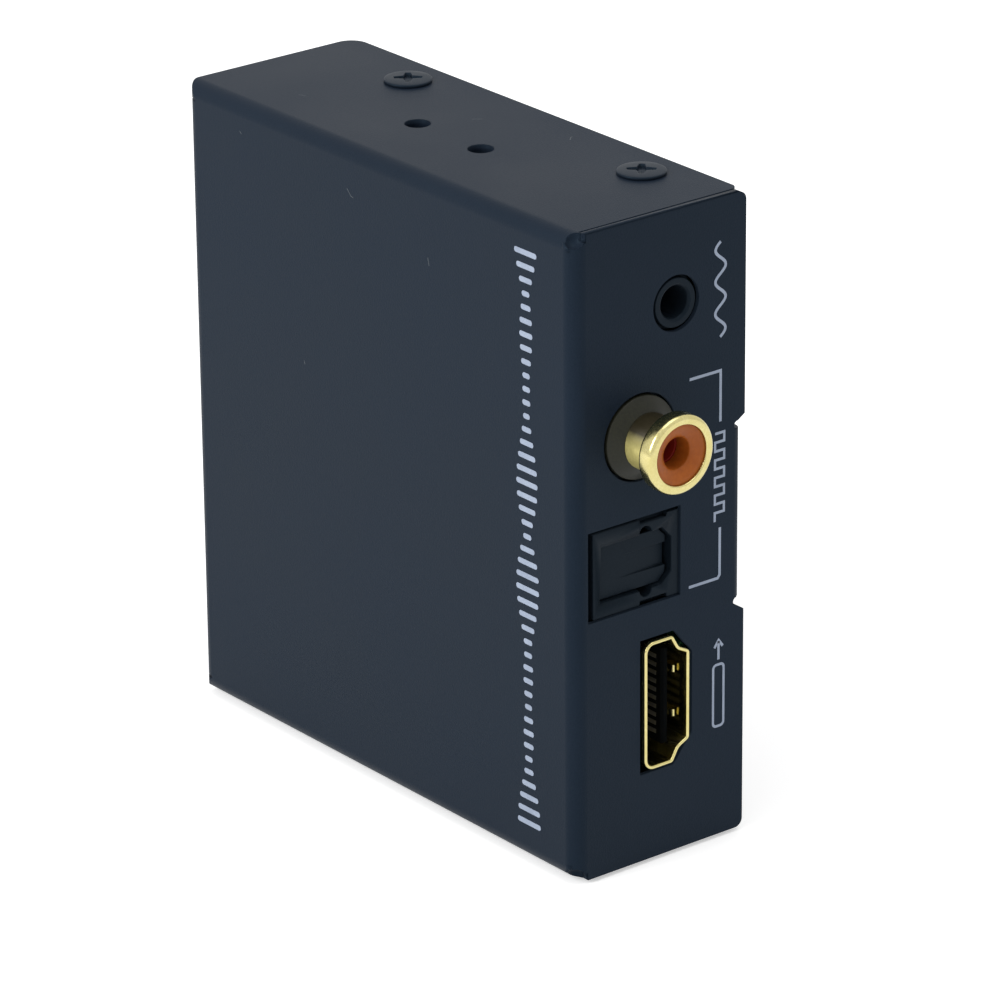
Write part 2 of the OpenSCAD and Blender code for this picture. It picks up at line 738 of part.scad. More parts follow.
module optical_housing() {
    half = optical_nose_h / 2;
    body_w = optical_body_w / 2;
    pocket_x = hinge_x - shutter_barrel_r - seat;
    color([0.12, 0.13, 0.15]) at_front(optical_axis_h, optical_z) difference() {
        union() {
            slab([-half, optical_recess, -optical_nose_w / 2], [half, 2 * cover_sheet, optical_nose_w / 2]);
            slab([-half - optical_body_over, cover_sheet + seat, -body_w],
                [optical_axis_h, cover_sheet + optical_body_len, body_w]);
        }
        translate([0, cavity_back, 0]) rotate([90, 0, 0])
            linear_extrude(cavity_len + over) cavity_outline(0);
        slab([pocket_x, hinge_y - shutter_barrel_r - seat, -cavity_w / 2], [0, cavity_back, cavity_w / 2]);
        for (z = [-1, 1]) {
            translate([groove_x, 0, z * cavity_w / 2]) bar_y(groove_r, 0, cavity_back - window_r);
            slab([notch_shares[0] * optical_nose_h, 0, z * optical_nose_w / 2 - notch_depth],
                [notch_shares[1] * optical_nose_h, cover_sheet + over,
                z * optical_nose_w / 2 + notch_depth]);
        }
        translate([hinge_x, hinge_y, -cavity_w / 2 - pin_hold])
            cylinder(r = shutter_pin_r + play, h = cavity_w + 2 * pin_hold);
        bar_y(window_r, cavity_back - over, cover_sheet + optical_body_len + over);
        slab([-emitter_h / 2, cavity_back + emitter_t, -emitter_w / 2],
            [optical_axis_h + over, cover_sheet + optical_body_len + over, emitter_w / 2]);
    }
}

module optical_emitter() {
    y0 = cavity_back + emitter_t + seat;
    color([0.62, 0.2, 0.16]) at_front(optical_axis_h, optical_z) {
        slab([seat - emitter_h / 2, y0, seat - emitter_w / 2],
            [optical_axis_h, y0 + emitter_t, emitter_w / 2 - seat]);
        bar_y(window_r - seat, cavity_back + seat, y0 + over);
    }
}

module optical_shutter() {
    w = cavity_w / 2 - shutter_gap;
    front = optical_recess + shutter_recess;
    // Where the ramp begins, and its width and depth, as shares of the mouth and
    // of the shutter's thickness
    ramp_x_share = -0.2;
    ramp_w_share = 0.4;
    ramp_t_share = 0.55;
    free_x = cavity_h / 2 - shutter_end_gap;
    ramp_w = cavity_w * ramp_w_share;
    color([0.13, 0.14, 0.16]) at_front(optical_axis_h, optical_z) difference() {
        union() {
            intersection() {
                translate([0, front + shutter_t, 0]) rotate([90, 0, 0]) linear_extrude(shutter_t)
                    cavity_outline(shutter_gap);
                slab([hinge_x, 0, -w], [free_x, cavity_back, w]);
            }
            translate([hinge_x, hinge_y, -w]) cylinder(r = shutter_barrel_r, h = 2 * w);
        }
        translate([0, 0, -ramp_w / 2]) linear_extrude(ramp_w)
            polygon([[ramp_x_share * cavity_h, front - over], [ramp_x_share * cavity_h, front],
                [free_x + over, front + shutter_t * ramp_t_share], [free_x + over, front - over]]);
        translate([hinge_x, hinge_y, -cavity_w]) cylinder(r = shutter_pin_r + play, h = 2 * cavity_w);
        translate([hinge_x, hinge_y, -spring_gap]) cylinder(r = spring_room_r, h = 2 * spring_gap);
        slab([hinge_x - shutter_barrel_r - over, hinge_y - seat, -spring_gap],
            [hinge_x + shutter_barrel_r + seat, cavity_back, spring_gap]);
    }
}

module shutter_pin() {
    color([0.75, 0.75, 0.76]) at_front(optical_axis_h, optical_z)
        translate([hinge_x, hinge_y, play - cavity_w / 2 - pin_hold])
            cylinder(r = shutter_pin_r, h = cavity_w + 2 * pin_hold - 2 * play);
}

// The shutter's spring: an open coil round the pin with a leg behind the
// shutter and a short one towards the housing's wall. Its wire is one tube of
// six sides
spring_wire_r = 0.08;
spring_turns = 4;
spring_sides = 6;
spring_rings = 12;
spring_step = (2 * spring_gap - 6 * spring_wire_r) / spring_turns;
spring_r = shutter_pin_r + spring_wire_r + play;
spring_leg = 2.4;
spring_stop = 0.8;
spring_start = spring_rings / 4;
spring_end = spring_start + spring_turns * spring_rings;
function spring_point(i) = let (a = 360 * i / spring_rings)
    [spring_r * cos(a), spring_r * sin(a), spring_step * i / spring_rings - spring_step * spring_turns / 2];
// Tip of the leg behind the shutter's plate, seen from the pin
spring_tip = [-spring_leg, shutter_t - shutter_barrel_r + spring_wire_r + play, spring_point(spring_end)[2]];
spring_path = concat([spring_point(spring_start) + [spring_stop, 0, 0]],
    [for (i = [spring_start:spring_end]) spring_point(i)], [spring_tip]);
function unit(v) = v / norm(v);
function path_way(p, i) = unit(p[min(i + 1, len(p) - 1)] - p[max(i - 1, 0)]);
module tube(path, r, sides) {
    rings = [for (i = [0:len(path) - 1])
        let (t = path_way(path, i), s = unit(cross(t, [0, 0, 1])), n = cross(s, t))
        for (k = [0:sides - 1]) path[i] + r * (cos(360 * k / sides) * s + sin(360 * k / sides) * n)];
    last = (len(path) - 1) * sides;
    walls = [for (i = [0:len(path) - 2], k = [0:sides - 1])
        let (a = i * sides + k, b = i * sides + (k + 1) % sides)
        each [[a, b, b + sides], [a, b + sides, a + sides]]];
    caps = [[for (k = [1:sides]) sides - k], [for (k = [1:sides]) last + k - 1]];
    polyhedron(rings, concat(walls, caps));
}

module shutter_spring() {
    color([0.7, 0.7, 0.72]) at_front(optical_axis_h, optical_z) translate([hinge_x, hinge_y, 0])
        mirror([1, 0, 0]) tube(spring_path, spring_wire_r, spring_sides);
}

// The video sockets, drawn in the panel's frame

video_back = 3.6;
spring_pair_z = 2.65;
shell_slot_w = 1.5;
shell_slot_y0 = 1.7;
shell_slot_y1 = 6.4;
shell_leg_w = 1.6;
shell_leg_ys = [3.2, 8.2];
shell_foot = 1.2;
contact_set = 1;
row_counts = [10, 9];
tail_w = 0.3;

// Width and thickness of a spring finger, as shares of its slot and the sheet
finger_w_share = 0.65;
finger_t_share = 0.7;
module video_shell() {
    h = video_h / 2;
    w = video_w / 2;
    finger_w = shell_slot_w * finger_w_share;
    finger_t = video_sheet * finger_t_share;
    difference() {
        video_block(video_w, video_h, -video_proud, video_len);
        video_block(video_w - 2 * video_sheet, video_h - 2 * video_sheet, -video_proud - over,
            video_len + over);
        for (z = [-spring_pair_z, spring_pair_z])
            slab([0, shell_slot_y0, z - shell_slot_w / 2], [h + over, shell_slot_y1, z + shell_slot_w / 2]);
    }
    for (z = [-spring_pair_z, spring_pair_z]) {
        slab([h - video_sheet, shell_slot_y0 + play, z - finger_w / 2],
            [h - video_sheet + finger_t, shell_slot_y1 + over, z + finger_w / 2]);
        translate([h - video_sheet + play, shell_slot_y0 + video_sheet + play, z - finger_w / 2])
            cylinder(r = video_sheet, h = finger_w);
    }
    for (side = [0, 1], y = shell_leg_ys) mirror([0, 0, side]) {
        slab([-h / 2, y, w - video_sheet], [video_axis_h, y + shell_leg_w, w]);
        slab([video_axis_h - video_sheet, y, w - video_sheet],
            [video_axis_h, y + shell_leg_w, w + shell_foot]);
    }
}

// Share of a contact's thickness that stands out of the tongue
contact_out_share = 0.3;
// One contact: blade in the tongue's face, tail down to the board, and foot
module video_contact(face, away, z) {
    x0 = face - contact_t * (away < 0 ? contact_out_share : 1 - contact_out_share);
    y0 = video_len + contact_t;
    slab([x0, tongue_recess + contact_set, z - contact_w / 2],
        [x0 + contact_t, video_len, z + contact_w / 2]);
    slab([x0, video_len - over, z - tail_w / 2], [x0 + contact_t, y0 + contact_t, z + tail_w / 2]);
    slab([x0, y0, z - tail_w / 2], [video_axis_h, y0 + contact_t, z + tail_w / 2]);
    slab([video_axis_h - contact_t, y0, z - tail_w / 2], [video_axis_h, y0 + 5 * contact_t, z + tail_w / 2]);
}

module video_contacts() {
    for (row = [0, 1], i = [0:row_counts[row] - 1])
        video_contact(tongue_shift + (row - 0.5) * tongue_t, row == 0 ? -1 : 1,
            (i - (row_counts[row] - 1) / 2) * (contact_w + contact_gap));
}

tongue_bevel_share = 0.3;
module video_insulator() {
    inner = 2 * video_sheet + 2 * play;
    bevel = tongue_t * tongue_bevel_share;
    x0 = tongue_shift - tongue_t / 2;
    x1 = tongue_shift + tongue_t / 2;
    back = video_len - video_back;
    difference() {
        union() {
            video_block(video_w - inner, video_h - inner, back, video_len);
            translate([0, 0, -tongue_w / 2]) linear_extrude(tongue_w)
                polygon([[x0, back + over], [x0, tongue_recess + bevel], [x0 + bevel, tongue_recess],
                    [x1 - bevel, tongue_recess], [x1, tongue_recess + bevel], [x1, back + over]]);
        }
        video_contacts();
    }
}

module video_out_shell() {
    color([0.85, 0.76, 0.5]) at_front(video_axis_h, video_out_z) video_shell();
}

module video_out_insulator() {
    color([0.04, 0.04, 0.04]) at_front(video_axis_h, video_out_z) video_insulator();
}

module video_out_contacts() {
    color([0.6, 0.6, 0.58]) at_front(video_axis_h, video_out_z) video_contacts();
}

module video_in_shell() {
    color([0.85, 0.76, 0.5]) at_back(video_axis_h, video_in_z) video_shell();
}

module video_in_insulator() {
    color([0.04, 0.04, 0.04]) at_back(video_axis_h, video_in_z) video_insulator();
}

module video_in_contacts() {
    color([0.6, 0.6, 0.58]) at_back(video_axis_h, video_in_z) video_contacts();
}

// The power socket

power_collar_recess = 0.2;
power_pin_back = 1.6;
power_pin_len = 8.4;
power_leaf_t = 0.3;
power_leaf_w = 2.4;
power_leaf_y0 = 4;
power_leaf_y1 = 11;
power_body_top = 4.4;

module power_jack_body() {
    color([0.06, 0.06, 0.07]) at_back(power_axis_h, power_z) difference() {
        union() {
            slab([-power_body_top, cover_sheet + seat, -power_w / 2],
                [power_axis_h, cover_sheet + power_len, power_w / 2]);
            bar_y(power_collar_r, power_collar_recess, 2 * cover_sheet);
        }
        bar_y(power_bore_r, 0, power_collar_recess + power_bore_len);
        bar_y(power_pin_r + play, 0, cover_sheet + power_len + over);
        slab([0, power_leaf_y0 - seat, -power_leaf_w / 2 - seat],
            [power_axis_h + over, power_leaf_y1 + seat, power_leaf_w / 2 + seat]);
    }
}

module power_jack_pin() {
    tip = power_collar_recess + power_bore_len - power_pin_len;
    back = cover_sheet + power_len + power_pin_back;
    color([0.78, 0.78, 0.76]) at_back(power_axis_h, power_z) {
        bar_y(power_pin_r, tip + power_pin_r / 2, back);
        translate([0, tip + power_pin_r / 2, 0]) rotate([90, 0, 0])
            cylinder(r1 = power_pin_r, r2 = power_pin_r / 2, h = power_pin_r / 2);
        slab([power_pin_r / 2, back - power_leaf_t, -power_pin_r], [power_axis_h, back, power_pin_r]);
    }
}

module power_jack_contact() {
    x0 = power_bore_r - power_leaf_t;
    color([0.75, 0.74, 0.7]) at_back(power_axis_h, power_z) {
        slab([x0, power_leaf_y0, -power_leaf_w / 2], [x0 + power_leaf_t, power_leaf_y1, power_leaf_w / 2]);
        slab([x0, power_leaf_y1 - power_leaf_t, -power_leaf_w / 2],
            [power_axis_h, power_leaf_y1, power_leaf_w / 2]);
    }
}

// The mode switch

lever_gap = 0.35;
slider_gap = 0.15;
slider_len = 6.4;
slider_t = 1.5;
terminal_w = 0.6;
terminal_t = 0.3;
terminal_zs = [-4.5, -1.5, 1.5, 4.5];
switch_base_t = 1.2;

module mode_switch_cage() {
    half = cage_len / 2;
    top = cage_h / 2;
    y1 = cover_sheet + cage_depth;
    slot_z = lever_len / 2 + switch_travel + lever_gap;
    slot_x = lever_w / 2 + lever_gap;
    color([0.74, 0.75, 0.76]) at_back(switch_axis_h, switch_z) difference() {
        slab([-top, cover_sheet + seat, -half], [top, y1, half]);
        slab([-top + cage_sheet, cover_sheet + seat + cage_sheet, cage_sheet - half],
            [top - cage_sheet, y1 + over, half - cage_sheet]);
        slab([-slot_x, 0, -slot_z], [slot_x, 2 * cover_sheet + cage_sheet, slot_z]);
    }
}

module mode_switch_slider() {
    y0 = cover_sheet + seat + cage_sheet + slider_gap;
    color([0.9, 0.9, 0.88]) at_back(switch_axis_h, switch_z) {
        slab([cage_sheet + slider_gap - cage_h / 2, y0, -slider_len / 2],
            [cage_h / 2 - cage_sheet - slider_gap, y0 + slider_t, slider_len / 2]);
        slab([-lever_w / 2, -lever_reach, -lever_len / 2], [lever_w / 2, y0 + over, lever_len / 2]);
    }
}

module mode_switch_base() {
    y1 = cover_sheet + cage_depth;
    inner_x = cage_h / 2 - cage_sheet - play;
    color([0.42, 0.24, 0.13]) at_back(switch_axis_h, switch_z) difference() {
        union() {
            slab([-inner_x, y1 - switch_base_t, cage_sheet + play - cage_len / 2],
                [inner_x, y1, cage_len / 2 - cage_sheet - play]);
            slab([-inner_x, y1, cage_sheet + play - cage_len / 2],
                [switch_axis_h, y1 + switch_base_t, cage_len / 2 - cage_sheet - play]);
        }
        mode_switch_blades();
    }
}

// The blades of the switch as they stand in its base
module mode_switch_blades() {
    y1 = cover_sheet + cage_depth;
    for (z = terminal_zs) {
        slab([-terminal_w, y1 - switch_base_t - terminal_t / 2, z - terminal_w / 2],
            [terminal_w, y1 + switch_base_t + terminal_t, z + terminal_w / 2]);
        slab([0, y1 + switch_base_t, z - terminal_w / 2],
            [switch_axis_h, y1 + switch_base_t + terminal_t, z + terminal_w / 2]);
    }
}

module mode_switch_terminals() {
    color([0.76, 0.76, 0.72]) at_back(switch_axis_h, switch_z) mode_switch_blades();
}

// The power light

led_face = 0.2;
led_rim = 0.3;
led_block = 4.4;

module power_led() {
    color([0.75, 0.12, 0.1]) at_back(led_axis_h, led_z) {
        bar_y(led_r, led_face, led_face + led_len);
        translate([0, led_face, 0]) sphere(r = led_r);
        bar_y(led_r + led_rim, led_face + led_len - led_r, led_face + led_len);
    }
}

module led_holder() {
    y0 = led_face + led_len - led_r - led_rim;
    color([0.05, 0.05, 0.06]) at_back(led_axis_h, led_z) difference() {
        slab([-led_block / 2, y0, -led_block / 2], [led_axis_h, y0 + led_block, led_block / 2]);
        bar_y(led_r + led_rim + play, y0 - over, led_face + led_len + play);
        bar_y(led_r + play, y0 - over, led_face + led_len + play);
    }
}

// Parts soldered flat on the board. A place is the share of the case's length
// from its middle, and the share of its height above the stand side

lead_t = 0.2;
lead_w = 0.3;
lead_gap = 0.5;
lead_spacing = lead_w + lead_gap;
lead_out = 1.1;
chip_lift = 0.15;
// Room left at both ends of a row of leads, as a share of their pitch
lead_end_share = 1.5;

module on_board(place_shares) {
    translate([board_x, place_shares[0] * case_d, place_shares[1] * case_w]) children();
}

// Square package with leads on four sides, or on the two Z sides
module chip(size_y, size_z, t, four) {
    slab([-chip_lift - t, -size_y / 2, -size_z / 2], [-chip_lift, size_y / 2, size_z / 2]);
    n_y = floor((size_y / lead_spacing - lead_end_share) / 2);
    for (i = [-n_y:n_y], side = [0, 1]) mirror([0, 0, side])
        translate([0, i * lead_spacing, size_z / 2]) chip_lead();
    if (four) {
        n_z = floor((size_z / lead_spacing - lead_end_share) / 2);
        for (i = [-n_z:n_z], side = [0, 1]) mirror([0, side, 0])
            translate([0, size_y / 2, i * lead_spacing]) rotate([-90, 0, 0]) chip_lead();
    }
}

// Bent lead that starts at Z = 0 inside a package's edge
module chip_lead() {
    slab([-3 * lead_t, -lead_w / 2, -over], [-2 * lead_t, lead_w / 2, lead_out / 2]);
    slab([-3 * lead_t, -lead_w / 2, lead_out / 2 - lead_t], [0, lead_w / 2, lead_out / 2]);
    slab([-lead_t, -lead_w / 2, lead_out / 2 - lead_t], [0, lead_w / 2, lead_out]);
}

// Flat block on the board
module board_block(size_y, size_z, t) {
    slab([-t, -size_y / 2, -size_z / 2], [0, size_y / 2, size_z / 2]);
}

chip_t = 1.2;
receiver_size = 12;
receiver_shares = [-0.02, 0.3];
module receiver_chip() {
    color([0.07, 0.07, 0.08]) on_board(receiver_shares) chip(receiver_size, receiver_size, chip_t, true);
}

audio_size = 7;
audio_shares = [-0.02, 0.7];
module audio_chip() {
    color([0.08, 0.08, 0.09]) on_board(audio_shares) chip(audio_size, audio_size, chip_t, true);
}

control_size = 8.4;
control_shares = [0.05, 0.545];
module control_chip() {
    color([0.08, 0.08, 0.09]) on_board(control_shares) chip(control_size, control_size, chip_t, true);
}

memory_y = 5;
memory_z = 4;
memory_shares = [-0.15, 0.53];
module memory_chip() {
    color([0.09, 0.09, 0.1]) on_board(memory_shares) chip(memory_y, memory_z, chip_t, false);
}

regulator_y = 6.4;
regulator_z = 3.6;
regulator_t = 1.6;
regulator_shares = [[-0.08, 0.9], [0.05, 0.9]];
module regulator_chips() {
    color([0.1, 0.1, 0.11]) for (p = regulator_shares)
        on_board(p) chip(regulator_y, regulator_z, regulator_t, false);
}

crystal_y = 10.5;
crystal_z = 4.4;
crystal_t = 3.4;
crystal_shares = [-0.02, 0.435];
module clock_crystal() {
    color([0.78, 0.78, 0.76]) on_board(crystal_shares) {
        board_block(crystal_y - crystal_z, crystal_z, crystal_t);
        for (y = [crystal_z - crystal_y, crystal_y - crystal_z])
            translate([-crystal_t, y / 2, 0]) rotate([0, 90, 0]) cylinder(r = crystal_z / 2, h = crystal_t);
    }
}

inductor_size = 6.4;
inductor_r = 2.7;
inductor_t = 3;
inductor_base_t = 0.75;
inductor_shares = [0.16, 0.8];
module power_inductor() {
    color([0.2, 0.2, 0.21]) on_board(inductor_shares) {
        board_block(inductor_size, inductor_size, inductor_base_t);
        translate([-inductor_t, 0, 0]) rotate([0, 90, 0]) cylinder(r = inductor_r, h = inductor_t);
    }
}

can_r = 3.15;
can_h = 5.4;
can_base = 1;
can_shares = [[0.02, 0.815], [-0.09, 0.815], [0.17, 0.4]];
module filter_capacitors() {
    color([0.72, 0.73, 0.75]) for (p = can_shares) on_board(p) {
        board_block(2 * can_r, 2 * can_r, can_base);
        translate([-can_h, 0, 0]) rotate([0, 90, 0]) cylinder(r = can_r, h = can_h);
    }
}

// Rows of small parts along Y: each row's first place, how far below it the row
// lies, and how many it holds. The first rows stand clear of the receiver's leads
small_spacing = 2.2;
row_gap = 0.75;
ceramic_size = [1.2, 0.8, 0.7];
ceramic_drop = receiver_size / 2 + lead_out + row_gap + ceramic_size[1] / 2;
ceramic_shares = [[-0.13, receiver_shares[1]], [-0.26, 0.7], [0.13, 0.46]];
ceramic_counts = [6, 4, 4];
resistor_size = [1.6, 0.8, 0.45];
resistor_drop = ceramic_drop + ceramic_size[1] / 2 + row_gap + resistor_size[1] / 2;
resistor_shares = [[-0.13, receiver_shares[1]], [-0.26, 0.73], [0.1, 0.65]];
resistor_counts = [6, 4, 4];
module small_rows(row_shares, drops, counts, size) {
    for (row = [0:len(counts) - 1], i = [0:counts[row] - 1])
        on_board(row_shares[row]) translate([0, i * small_spacing, -drops[row]])
            board_block(size[0], size[1], size[2]);
}

module ceramic_capacitors() {
    color([0.62, 0.48, 0.34])
        small_rows(ceramic_shares, [ceramic_drop, 0, 0], ceramic_counts, ceramic_size);
}

module chip_resistors() {
    color([0.1, 0.1, 0.12])
        small_rows(resistor_shares, [resistor_drop, 0, 0], resistor_counts, resistor_size);
}

// Three arrays behind each video socket
array_y = 2.6;
array_z = 1.6;
array_t = 0.8;
array_spacing = 3.6;
array_y_shares = [-0.25, 0.23];
module surge_protectors() {
    color([0.08, 0.08, 0.09]) for (y_share = array_y_shares, i = [-1:1])
        on_board([y_share, video_out_z_share]) translate([0, 0, i * array_spacing])
            board_block(array_y, array_z, array_t);
}

cover_shell();
base_plate();
side_screws();
rubber_feet();
main_board();
board_standoffs();
board_screws();
video_out_shell();
video_out_insulator();
video_out_contacts();
video_in_shell();
video_in_insulator();
video_in_contacts();
coax_sleeve();
coax_insert();
coax_centre_contact();
coax_housing();
optical_housing();
optical_shutter();
shutter_pin();
shutter_spring();
optical_emitter();
stereo_jack_body();
stereo_jack_contacts();
power_jack_body();
power_jack_pin();
power_jack_contact();
mode_switch_cage();
mode_switch_slider();
mode_switch_base();
mode_switch_terminals();
power_led();
led_holder();
receiver_chip();
audio_chip();
control_chip();
memory_chip();
regulator_chips();
clock_crystal();
power_inductor();
filter_capacitors();
ceramic_capacitors();
chip_resistors();
surge_protectors();
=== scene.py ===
"""Audio extractor box: a folded steel case that stands on its narrow side, with its sockets.

Lengths are written in millimetres and turned into metres where a mesh is made. X runs from the
printed face to the base plate, Y from the output panel to the input panel, Z up.
"""
import math

import bmesh
import bpy
import numpy as np
from mathutils import Matrix, Vector


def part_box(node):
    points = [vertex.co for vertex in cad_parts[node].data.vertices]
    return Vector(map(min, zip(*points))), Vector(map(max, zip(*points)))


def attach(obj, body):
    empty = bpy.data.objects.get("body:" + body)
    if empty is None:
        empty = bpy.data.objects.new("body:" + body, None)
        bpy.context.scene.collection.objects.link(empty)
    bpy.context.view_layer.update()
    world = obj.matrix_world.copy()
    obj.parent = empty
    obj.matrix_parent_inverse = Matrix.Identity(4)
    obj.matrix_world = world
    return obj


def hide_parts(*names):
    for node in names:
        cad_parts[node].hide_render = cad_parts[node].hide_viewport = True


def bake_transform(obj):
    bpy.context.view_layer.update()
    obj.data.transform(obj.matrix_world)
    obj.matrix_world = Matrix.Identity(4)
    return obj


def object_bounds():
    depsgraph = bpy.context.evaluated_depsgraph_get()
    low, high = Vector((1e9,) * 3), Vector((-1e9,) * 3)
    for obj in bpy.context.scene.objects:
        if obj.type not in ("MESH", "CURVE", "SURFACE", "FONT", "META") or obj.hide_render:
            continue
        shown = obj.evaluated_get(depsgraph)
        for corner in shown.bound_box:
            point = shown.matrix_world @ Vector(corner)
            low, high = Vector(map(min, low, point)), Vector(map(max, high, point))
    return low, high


MM = 0.001
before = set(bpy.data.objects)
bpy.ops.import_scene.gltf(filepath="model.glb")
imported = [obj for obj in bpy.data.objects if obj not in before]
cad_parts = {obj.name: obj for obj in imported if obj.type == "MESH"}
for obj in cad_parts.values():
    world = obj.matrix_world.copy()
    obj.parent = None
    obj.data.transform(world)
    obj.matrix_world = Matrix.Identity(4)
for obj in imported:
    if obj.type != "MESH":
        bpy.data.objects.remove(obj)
cad_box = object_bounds()


# The camera stands a little above the part, off the corner between the printed face and the
# output panel, with a long lens. Its place counts from the middle of the case's foot.

AZIMUTH, ELEVATION, ROLL = (math.radians(a) for a in (-38.50, 22.26, -0.52))
CAMERA_DISTANCE, AIM_ACROSS, AIM_UP = 695.2, 3.95, 29.14
FOCAL_LENGTH, SENSOR = 218.45, 36.0
NEAREST_METRES, FARTHEST_METRES = 0.01, 20


def place_camera():
    """The frame is turned by azimuth about Z, then by elevation, then by roll about the view."""
    ca, sa, ce, se = math.cos(AZIMUTH), math.sin(AZIMUTH), math.cos(ELEVATION), math.sin(ELEVATION)
    right, up = Vector((ca, sa, 0)), Vector((-sa * se, ca * se, ce))
    back = Vector((sa * ce, -ca * ce, se))
    across = math.cos(ROLL) * right + math.sin(ROLL) * up
    above = math.cos(ROLL) * up - math.sin(ROLL) * right
    low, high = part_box("cover_shell")
    foot = Vector(((low.x + high.x) / 2, (low.y + high.y) / 2, low.z))
    place = foot + MM * (AIM_ACROSS * across + AIM_UP * above + CAMERA_DISTANCE * back)
    camera = bpy.data.objects.new("camera", bpy.data.cameras.new("camera"))
    bpy.context.scene.collection.objects.link(camera)
    turned_frame = Matrix((across, above, back)).transposed().to_4x4()
    camera.matrix_world = Matrix.Translation(place) @ turned_frame
    camera.data.lens, camera.data.sensor_width = FOCAL_LENGTH, SENSOR
    camera.data.sensor_fit = "HORIZONTAL"
    camera.data.clip_start, camera.data.clip_end = NEAREST_METRES, FARTHEST_METRES
    bpy.context.scene.camera = camera


place_camera()


# The stage: a white floor that fades into a white room. The room shows at full white to the
# camera and in gloss, and lights the object a little less, so that shadows stay on the floor.

ROOM_LIGHT = 0.62
FLOOR_METRES = 6.0
FLOOR_COLOUR = 0.86
FLOOR_GLOW = 0.45


def seen_directly(tree):
    """Light Path mask: 1 for camera, gloss and glass rays, 0 for the light that falls on things."""
    path = tree.nodes.new("ShaderNodeLightPath")
    total = tree.nodes.new("ShaderNodeMath")
    total.operation = "MAXIMUM"
    tree.links.new(path.outputs["Is Camera Ray"], total.inputs[0])
    tree.links.new(path.outputs["Is Glossy Ray"], total.inputs[1])
    every = tree.nodes.new("ShaderNodeMath")
    every.operation = "MAXIMUM"
    tree.links.new(total.outputs[0], every.inputs[0])
    tree.links.new(path.outputs["Is Transmission Ray"], every.inputs[1])
    return every.outputs[0]


def make_room():
    """White world whose strength goes from the room's light to 1 with the Light Path mask."""
    world = bpy.data.worlds.new("studio_room")
    world.use_nodes = True
    tree = world.node_tree
    strength = tree.nodes.new("ShaderNodeMapRange")
    strength.inputs["To Min"].default_value = ROOM_LIGHT
    strength.inputs["To Max"].default_value = 1.0
    tree.links.new(seen_directly(tree), strength.inputs["Value"])
    tree.nodes["Background"].inputs["Color"].default_value = (1, 1, 1, 1)
    tree.links.new(strength.outputs[0], tree.nodes["Background"].inputs["Strength"])
    bpy.context.scene.world = world


def make_floor():
    """Square of matt paper under the part, with a glow that is the mask times the floor's glow."""
    half, low = FLOOR_METRES / 2, cad_box[0].z
    mesh = bpy.data.meshes.new("floor")
    mesh.from_pydata([(-half, -half, low), (half, -half, low), (half, half, low), (-half, half, low)],
                     [], [(0, 1, 2, 3)])
    floor = bpy.data.objects.new("floor", mesh)
    bpy.context.scene.collection.objects.link(floor)
    material = bpy.data.materials.new("floor_paper")
    material.use_nodes = True
    tree = material.node_tree
    tree.nodes.clear()
    paper = tree.nodes.new("ShaderNodeBsdfDiffuse")
    paper.inputs["Color"].default_value = (FLOOR_COLOUR,) * 3 + (1,)
    glow = tree.nodes.new("ShaderNodeEmission")
    share = tree.nodes.new("ShaderNodeMath")
    share.operation = "MULTIPLY"
    share.inputs[1].default_value = FLOOR_GLOW
    tree.links.new(seen_directly(tree), share.inputs[0])
    tree.links.new(share.outputs[0], glow.inputs["Strength"])
    both = tree.nodes.new("ShaderNodeAddShader")
    tree.links.new(paper.outputs[0], both.inputs[0])
    tree.links.new(glow.outputs[0], both.inputs[1])
    out = tree.nodes.new("ShaderNodeOutputMaterial")
    tree.links.new(both.outputs[0], out.inputs["Surface"])
    mesh.materials.append(material)


def soft_lamp(name, azimuth, elevation, distance, size, power):
    """Square lamp on a sphere round the object's middle, turned towards it. Angles are in degrees,
    distance and size in metres, power in watts."""
    a, e = math.radians(azimuth), math.radians(elevation)
    way = Vector((math.sin(a) * math.cos(e), -math.cos(a) * math.cos(e), math.sin(e)))
    middle = (cad_box[0] + cad_box[1]) / 2
    lamp = bpy.data.objects.new(name, bpy.data.lights.new(name, "AREA"))
    bpy.context.scene.collection.objects.link(lamp)
    lamp.data.size, lamp.data.energy = size, power
    lamp.location = middle + way * distance
    lamp.rotation_mode = "QUATERNION"
    lamp.rotation_quaternion = (-way).to_track_quat("-Z", "Y")


bpy.context.scene.view_settings.view_transform = "Standard"
make_room()
make_floor()
soft_lamp("key_lamp", azimuth=-98, elevation=31, distance=0.9, size=0.45, power=4.9)
soft_lamp("fill_lamp", azimuth=20, elevation=78, distance=1.0, size=0.7, power=2.4)


# The cover is one sheet of steel, cut, folded and powder coated in a dark blue grey with a fine
# even grain. The base is a flat sheet with two flanges, cut and coated the same way. The coat
# softens the cover's edges beside its narrow sides, and the cut-outs stay crisp.

NOISE_DETAIL = {"fine": 3.0, "cloud": 4.0}
NOISE_LOW, NOISE_HIGH = 0.1, 0.4
BUMP_METRES = 0.0001


